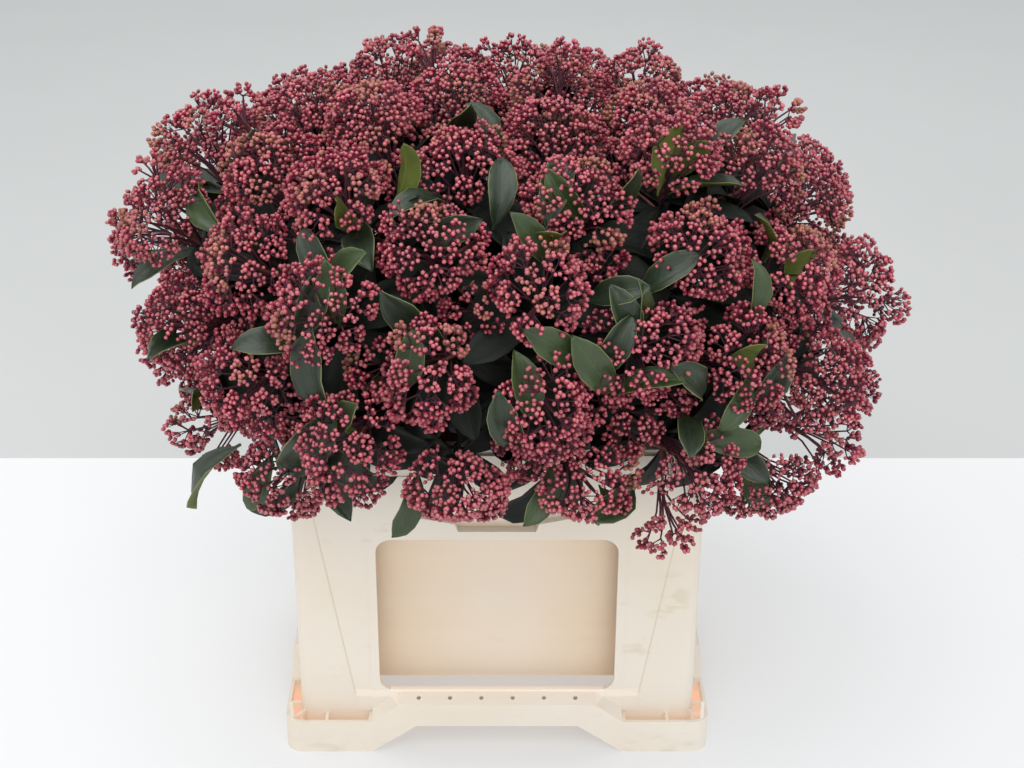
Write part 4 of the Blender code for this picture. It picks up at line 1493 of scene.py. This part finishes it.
def showHeads(heads):
    shown = []
    for one in shownHeads:
        centre = onCrown(*one["at"], one["out"])
        head = Head(centre, Vector(one["axis"]).normalized(), one["radius"], one["openness"])
        head.parent = min(heads, key=lambda other: (other.centre - head.centre).length)
        head.stem = head.parent.stem
        head.free = True
        shown.append(head)
    return shown


# the trees that turn the plan's points and lines into meshes


def budTree():
    tints = dict.fromkeys((*budTones, "Tip"), "finish")
    made = Grower("grow buds", Length="length", Width="length", **tints)
    width, length = made.given("Width"), made.given("Length")
    ball = made.smooth(made.node("GeometryNodeMeshIcoSphere", None, 0.5, 1))
    height = made.parts(made.node("GeometryNodeInputPosition"))[2]
    # the top of each bud is marked for the paler finish, a painted highlight
    ball = made.markFaces(ball, "tip", height.above(bud["highlightFrom"]))
    lift, stretch = made.combine(0.0, 0.0, length * 0.5), made.combine(width, width, length)
    ball = made.node("GeometryNodeTransform", None, ball, Translation=lift, Scale=stretch)
    grown = made.scatter(Instance=ball, Rotation=made.facing(), Scale=made.stored("size"))
    tone = made.stored("tone")
    grown = made.paintFaces(grown, budTones[0])
    for index, name in enumerate(budTones[1:], 1):
        grown = made.paintFaces(grown, name, tone.equals(index))
    # painted highlight on the top of each bud
    return made.close(made.paintFaces(grown, "Tip", made.stored("tip")))


def pedicelTree():
    made = Grower("grow pedicels", Radius="length", Bark="finish")
    cone = made.smooth(made.node("GeometryNodeMeshCone", {"fill_type": "NONE"}, 3, 1, 1, 0.0, 1.0, 1.0))
    radius = made.given("Radius")
    stretch = made.combine(radius, radius, made.stored("size"))
    grown = made.scatter(Instance=cone, Rotation=made.facing(), Scale=stretch)
    return made.close(made.paintFaces(grown, "Bark"))


def twigTree():
    made = Grower("grow twigs", Sides="count", Bark="finish")
    line = made.node("GeometryNodeMeshToCurve", None, made.given("Geometry"))
    return made.close(made.paintFaces(made.smooth(made.tube(line)), "Bark"))


def stemTree():
    # rounded stems with a fine grain and some knots
    made = Grower("grow stems", Sides="count", Rings="count", Relief="length", Bark="finish")
    line = made.node("GeometryNodeMeshToCurve", None, made.given("Geometry"))
    line = made.node("GeometryNodeCurveSplineType", {"spline_type": "CATMULL_ROM"}, line)
    line = made.node("GeometryNodeResampleCurve", None, line, Count=made.given("Rings"))
    place = made.node("GeometryNodeInputPosition")
    where = made.node("ShaderNodeVectorMath", {"operation": "MULTIPLY"}, place, (1.0, 1.0, 0.35))
    grain = made.node("ShaderNodeTexNoise", None, Vector=where, Scale=420.0, Detail=2.0).out("Fac")
    knots = made.node("ShaderNodeTexNoise", None, Vector=place, Scale=70.0).out("Fac")
    swell = (grain - 0.5 + (knots - 0.5) * 2) * made.given("Relief")
    normal = made.node("GeometryNodeInputNormal")
    push = made.node("ShaderNodeVectorMath", {"operation": "SCALE"}, normal, Scale=swell)
    grown = made.smooth(made.node("GeometryNodeSetPosition", None, made.tube(line), Offset=push))
    return made.close(made.paintFaces(grown, "Bark"))


def leafTree():
    made = Grower("grow leaves", Blades="group", Fresh="finish", Deep="finish")
    sockets = {"Separate Children": True, "Reset Children": True}
    blades = made.node("GeometryNodeCollectionInfo", None, made.given("Blades"), **sockets)
    ways = [made.stored(name, "FLOAT_VECTOR") for name in ("heading", "upperSide")]
    turn = made.node("FunctionNodeAxesToRotation", {"primary_axis": "Y", "secondary_axis": "Z"}, *ways)
    sockets = {"Instance": blades, "Pick Instance": True, "Instance Index": made.stored("variant")}
    grown = made.scatter(Rotation=turn, Scale=made.stored("size"), **sockets)
    tone = made.stored("tone")
    fresh, deep = (tone.equals(leaf["tones"][name]) for name in ("fresh", "deep"))
    grown = made.paintFaces(grown, "Fresh", fresh * made.stored("upper"))
    # painted shade on the leaves deep in the crown
    return made.close(made.paintFaces(grown, "Deep", deep))


# the plant: its stems in groups, and one piece of each kind for each group

# each kind with what its guide's points store, or none where the guide is lines
pieceKinds = {
    "buds": ("facing", "size", "tone"),
    "pedicels": ("facing", "size"),
    "twigs": (),
    "stalks": (),
    "leaves": ("heading", "upperSide", "size", "variant", "tone"),
}
budTones = ("Crimson", "Rose", "Plum", "Tan")
stemGroups = 6

stalks = {
    "spacing": (0.0025, 0.0011),  # how far below the fork the first one leaves, and then each next one
    "fromHead": 1.3,  # a small head's stalk starts this far below its neighbour's middle, in radii
    "end": 0.10,
    "leaving": 0.3,
    "arriving": 0.35,
    "points": 9,
    "thick": (0.0027, 0.0017),  # a planned head's, and a small head's
    "taper": 0.55,
    "forkTaper": 0.9,
    "sides": 6,
}


def growStalks(stem, heads, harvest):
    # the stem's own fork, then one stalk to each head
    tip, (first, each) = stemLine["tipRadius"], stalks["spacing"]
    harvest.append(([stem.line[-1], stem.fork], (tip, tip * stalks["forkTaper"])))
    for order, head in enumerate(heads):
        parent = head.parent
        start = stem.fork - stem.leaving * (first + each * order)
        if parent:
            start = parent.below(stalks["fromHead"])
        end = head.below(stalks["end"])
        reach = (end - start).length
        leaving = start + (parent.axis if parent else stem.leaving) * reach * stalks["leaving"]
        line = bezier(start, leaving, end - head.axis * reach * stalks["arriving"], end, stalks["points"])
        thick = stalks["thick"][parent is not None]
        harvest.append((line, (thick, thick * stalks["taper"])))


def growPlant(finishes):
    stems, heads = planCrown()
    print("crown planned:", len(stems), "stems,", len(heads), "heads")
    garden = Garden(finishes, stemGroups)
    for number, stem in enumerate(stems):
        stem.number = number + 1
        stem.group = number * stemGroups // len(stems)
    print("shown leaves:", growShownLeaves(heads, garden))
    found = findGaps(heads)
    small = fillGaps(found, garden) + showHeads(heads)
    print("gaps:", len(found), "small heads:", len(small))
    garden.know(heads + small)
    for head in heads:
        growRings(head, garden)
        growFringe(head, garden)
    for gap in found:
        if gap.leafy:
            growGapLeaves(gap, garden)
    for stem in stems:
        growInnerLeaves(stem, garden)
    print("leaves:", garden.count("leaves"))
    garden.leafTree = BVHTree.FromPolygons(garden.places, garden.faces)
    garden.chance = random.Random(panicle["seed"])
    for head in heads + small:
        growPanicle(head, garden)
    print("buds:", garden.count("buds"))
    for stem in stems:
        carried = stem.heads + [head for head in small if head.stem is stem]
        growStalks(stem, carried, garden.harvests[stem.group]["stalks"])
    makePieces(stems, garden, finishes)
    garden.clearAway()


def makePieces(stems, garden, finishes):
    tube, stalk, peduncle = twigTree(), finishes["stalk"], finishes["peduncle"]
    budInputs = {name: finishes["bud" + name] for name in (*budTones, "Tip")}
    leafInputs = {name: finishes["leaf" + name] for name in ("Fresh", "Deep")}
    # each kind's tree and its inputs, and its material slot
    kinds = {
        "buds": (budTree(), {"Length": bud["length"], "Width": bud["width"], **budInputs}, "bud_red"),
        "pedicels": (pedicelTree(), {"Radius": bud["stalkRadius"], "Bark": stalk}, "stem_bark"),
        "twigs": (tube, {"Sides": twigs["sides"], "Bark": stalk}, "stem_bark"),
        "stalks": (tube, {"Sides": stalks["sides"], "Bark": peduncle}, "stem_bark"),
        "leaves": (leafTree(), {"Blades": garden.group, **leafInputs}, None),
    }
    for number, harvest in enumerate(garden.harvests):
        nodes = [f"bud_heads_{stem.number:02d}" for stem in stems if stem.group == number]
        for kind, (tree, inputs, slot) in kinds.items():
            layers, rows = pieceKinds[kind], harvest[kind]
            guide = pointMesh(rows, layers) if layers else lineMesh(rows)
            finishPiece(grow(f"{kind}_{number + 1:02d}", guide, tree, **inputs), nodes)
    guide = lineMesh([(stem.line, (stemLine["footRadius"], stemLine["tipRadius"])) for stem in stems])
    inputs = {"Sides": stemLine["sides"], "Rings": stemLine["rings"], "Relief": stemLine["relief"]}
    grown = grow("stems", guide, stemTree(), **inputs, Bark=peduncle)
    finishPiece(grown, [f"stem_{stem.number:02d}" for stem in stems])


def setStage():
    # white ground, and plain grey beyond its back edge
    reach, back = stage["reach"], stage["whiteBack"]
    for name, tint, low, high in (("tableTop", "white", -reach, back), ("beyond", "grey", back, reach)):
        shape = bmesh.new()
        bmesh.ops.create_grid(shape, x_segments=1, y_segments=1, size=1)
        for vert in shape.verts:
            vert.co = Vector((vert.co.x * reach, high if vert.co.y > 0 else low, 0))
        mesh = meshFrom(name, shape)
        made = Finish(name, Roughness=stage["roughness"])
        made.glow(stage["lift"][tint], (1.0, 1.0, 1.0))
        colour = made.mottle(made.noise(3.0, 3.0), stage[tint], *stage["mottle"], 0.3, 0.7)
        mesh.materials.append(made.paint(colour))
        linked(name, mesh)


setCamera()
setLights()
setStage()
finishes = makeFinishes()
print("finishes made:", len(finishes))
for node in ("sleeve", "bucket"):
    mouldedCopy(node, finishes["creamPlastic"])
print("container dressed")
growPlant(finishes)
print("plant grown")
